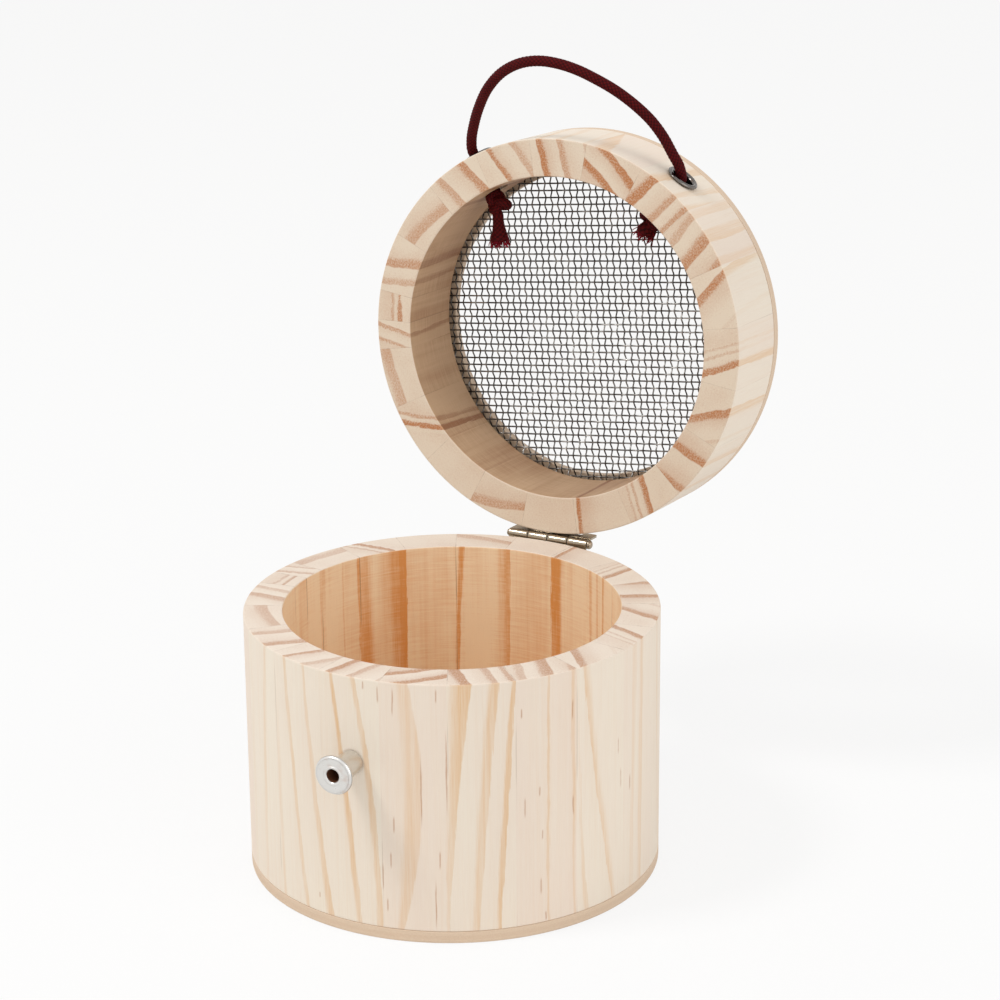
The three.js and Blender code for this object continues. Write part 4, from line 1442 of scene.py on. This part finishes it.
def make_stud():
    """The catch stud: a hollow rivet with a broad, softly domed head and a rolled lip at its bore."""
    corners = [
        (0, -7), (2, -7), (2, 0.3), (2.9, 0.3), (2.9, 7.3), (3.4, 7.7), (4.45, 7.8), (4.8, 8.3),
        (4.6, 8.95), (3.5, 9.35), (2.45, 9.15), (2.15, 9.4), (1.6, 9.1), (1.6, 3.4), (0, 3.4),
    ]
    cuts = [0, 0.2, 0, 0, 0.4, 0.3, 0.2, 0.3, 0.4, 0.6, 0.15, 0.15, 0.22, 0.3, 0]
    outline = refined(eased(corners, cuts, closed=False), step=0.8, closed=False) * MM
    stud = faced(turned("stud_rivet", outline, columns=96), sharp=50)
    x, y, z = vertex_places(stud.data).T / MM
    in_bore, lip = np.hypot(x, y) < 1.7, 8.95
    # The bore field marks where the finish paints the hole's shade.
    write_field(stud.data, "bore", in_bore & (z > 0) & (z < lip), "POINT")
    height, radius = settings().hardware.stud_height, settings().blank.radius
    move(stud, lambda points: on_wall(points, 0, height, radius))
    return placed(stud, "cup", "nickel", "stud_nickel", "catch_stud")


def make_eyelet(side, name, node):
    """An eyelet: a thin barrel through the wall and a rolled flange outside."""
    corners = [
        (2.7, -8.8), (3.1, -8.8), (3.1, 0.3), (4.1, 0.3), (4.25, 0.6),
        (3.85, 1.0), (3.35, 1.05), (2.85, 0.7), (2.7, 0.2),
    ]
    cuts = [0.1, 0.1, 0, 0.12, 0.2, 0.3, 0.35, 0.3, 0.2]
    outline = refined(eased(corners, cuts), step=0.8) * MM
    eyelet = faced(turned(name, outline, columns=96), sharp=50)
    hardware, radius = settings().hardware, settings().blank.radius
    turn, height = side * hardware.eyelet_angle, hardware.eyelet_height
    move(eyelet, lambda points: lid_to_row(on_wall(points, turn, height, radius)))
    return placed(eyelet, "lid", "dark_nickel", "eyelet_nickel", node)


# Camera, floor and light

def make_camera():
    """The camera of the photograph: back along azimuth and elevation from an aim beside the axis."""
    view = settings().camera
    cos, sin = math.cos(view.elevation), math.sin(view.elevation)
    back = Vector((math.sin(view.azimuth) * cos, -math.cos(view.azimuth) * cos, sin))
    right = Vector((math.cos(view.azimuth), math.sin(view.azimuth), 0))
    up = back.cross(right)
    aim = right * view.aim_right + Vector((0, 0, view.aim_height))
    level_right = right * math.cos(view.roll) + up * math.sin(view.roll)
    level_up = up * math.cos(view.roll) - right * math.sin(view.roll)
    data = bpy.data.cameras.new("camera")
    data.lens = view.lens
    data.sensor_width = view.sensor
    camera = bpy.data.objects.new("camera", data)
    bpy.context.scene.collection.objects.link(camera)
    turn = Matrix((level_right, level_up, back)).transposed()
    camera.matrix_world = Matrix.Translation(aim + back * view.distance) @ turn.to_4x4()
    bpy.context.scene.camera = camera


def make_floor():
    """The floor, a square of 8 m that carries the cage's shadow."""
    reach = 4.0
    points = np.array([(-reach, -reach, 0), (reach, -reach, 0), (reach, reach, 0), (-reach, reach, 0)])
    floor = new_piece("floor", points, np.array([(0, 1, 2, 3)]))
    floor.data.materials.append(finish("floor"))


def make_world():
    """A white room: full white to the camera and to reflections, softer as light."""
    world = bpy.data.worlds.new("room")
    world.use_nodes = True
    shader = Shader(world.node_tree)
    soft = 0.66
    strength = white_seen(shader, 1 - soft) + soft
    room = shader.node("ShaderNodeBackground", inputs={"Color": (1, 1, 1, 1), "Strength": strength})
    shader.node("ShaderNodeOutputWorld", inputs={"Surface": room.outputs[0]})
    bpy.context.scene.world = world


def make_lamp(name, azimuth, elevation, distance, size, power):
    """A square lamp that faces the middle of the open cage. Its size and distance are in metres, its
    angles in degrees from the front and over the horizon, and its power in watts."""
    aim = Vector((0, 0, 0.09))
    turn, rise = math.radians(azimuth), math.radians(elevation)
    back = Vector((math.sin(turn) * math.cos(rise), -math.cos(turn) * math.cos(rise), math.sin(rise)))
    data = bpy.data.lights.new(name, "AREA")
    data.size = size
    data.energy = power
    lamp = bpy.data.objects.new(name, data)
    lamp.location = aim + back * distance
    lamp.rotation_euler = back.to_track_quat("Z", "Y").to_euler()
    bpy.context.scene.collection.objects.link(lamp)


# Operators

class CAGE_OT_camera(bpy.types.Operator):
    """Sets up the photograph's camera"""

    bl_idname = "insect_cage.camera"
    bl_label = "Camera"

    def execute(self, context):
        make_camera()
        return {"FINISHED"}


class CAGE_OT_cord(bpy.types.Operator):
    """Makes the elastic cord, its two knots and their frayed ends"""

    bl_idname = "insect_cage.cord"
    bl_label = "Elastic cord"

    def execute(self, context):
        cord = make_cord()
        placed(cord, "lid", "elastic", "braided_elastic", "handle_cord")
        left = make_knot(-1, "knot_left", "cord_knot_left")
        right = make_knot(1, "knot_right", "cord_knot_right")
        path = smooth_route(lid_to_row(CORD_POINTS), per_span=8)
        return {"FINISHED"}


class CAGE_OT_pine(bpy.types.Operator):
    """Makes the pine cup and the pine ring of the lid"""

    bl_idname = "insect_cage.pine"
    bl_label = "Pine cup and lid ring"

    def execute(self, context):
        make_cup()
        make_lid_ring()
        return {"FINISHED"}


class CAGE_OT_ply(bpy.types.Operator):
    """Makes the ply bottom and the ply ring over the wire cloth"""

    bl_idname = "insect_cage.ply"
    bl_label = "Ply plates"

    def execute(self, context):
        make_bottom()
        make_ply_ring()
        return {"FINISHED"}


class CAGE_OT_wire(bpy.types.Operator):
    """Weaves the wire cloth of the lid"""

    bl_idname = "insect_cage.wire"
    bl_label = "Wire cloth"

    def execute(self, context):
        make_wire_cloth()
        return {"FINISHED"}


class CAGE_OT_hinge(bpy.types.Operator):
    """Makes the hinge leaves, the pin and the screws"""

    bl_idname = "insect_cage.hinge"
    bl_label = "Hinge"

    def execute(self, context):
        make_leaf("leaf_base", 1, False, "hinge_leaf_base")
        make_leaf("leaf_lid", 1, True, "hinge_leaf_lid")
        left, right = screw_places()
        make_screw("screw_base_left", left, False, "hinge_screw_base_left")
        make_screw("screw_base_right", right, False, "hinge_screw_base_right")
        make_screw("screw_lid_left", right, True, "hinge_screw_lid_left")
        make_screw("screw_lid_right", left, True, "hinge_screw_lid_right")
        make_pin()
        return {"FINISHED"}


class CAGE_OT_stud(bpy.types.Operator):
    """Makes the catch stud"""

    bl_idname = "insect_cage.stud"
    bl_label = "Catch stud"

    def execute(self, context):
        make_stud()
        return {"FINISHED"}


class CAGE_OT_eyelets(bpy.types.Operator):
    """Makes the two eyelets of the lid"""

    bl_idname = "insect_cage.eyelets"
    bl_label = "Eyelets"

    def execute(self, context):
        make_eyelet(-1, "eyelet_rolled_left", "eyelet_left")
        make_eyelet(1, "eyelet_rolled_right", "eyelet_right")
        return {"FINISHED"}


class CAGE_OT_stage(bpy.types.Operator):
    """Makes the floor, the white room and the lamps"""

    bl_idname = "insect_cage.stage"
    bl_label = "Stage"

    def execute(self, context):
        make_floor()
        make_world()
        make_lamp("key_lamp", azimuth=-45, elevation=56, distance=1.2, size=0.28, power=6.0)
        make_lamp("fill_lamp", azimuth=78, elevation=22, distance=1.3, size=1.0, power=4.2)
        bpy.context.scene.view_settings.view_transform = "Standard"
        return {"FINISHED"}


STEPS = (
    CAGE_OT_camera, CAGE_OT_cord, CAGE_OT_pine, CAGE_OT_ply, CAGE_OT_wire,
    CAGE_OT_hinge, CAGE_OT_stud, CAGE_OT_eyelets, CAGE_OT_stage,
)


class CAGE_PT_panel(bpy.types.Panel):
    """Lists the cage's pieces and sizes"""

    bl_idname = "CAGE_PT_panel"
    bl_label = "Insect cage"
    bl_space_type = "VIEW_3D"
    bl_region_type = "UI"
    bl_category = "Insect cage"

    def draw(self, context):
        cage = context.scene.insect_cage
        for step in STEPS:
            self.layout.operator(step.bl_idname)
        for group in (cage.blank, cage.wire, cage.cord, cage.hardware, cage.colours, cage.camera):
            box = self.layout.box()
            for name in group.bl_rna.properties.keys()[2:]:
                box.prop(group, name)


CLASSES = (
    BlankSettings, WireSettings, CordSettings, HardwareSettings, ColourSettings, CameraSettings,
    CageSettings, *STEPS, CAGE_PT_panel,
)


def register():
    for cls in CLASSES:
        bpy.utils.register_class(cls)
    bpy.types.Scene.insect_cage = PointerProperty(type=CageSettings)


def unregister():
    del bpy.types.Scene.insect_cage
    for cls in reversed(CLASSES):
        bpy.utils.unregister_class(cls)


def main():
    """Makes the whole cage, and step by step."""
    register()
    for step in STEPS:
        group, name = step.bl_idname.split(".")
        getattr(getattr(bpy.ops, group), name)()


if __name__ == "__main__":
    main()
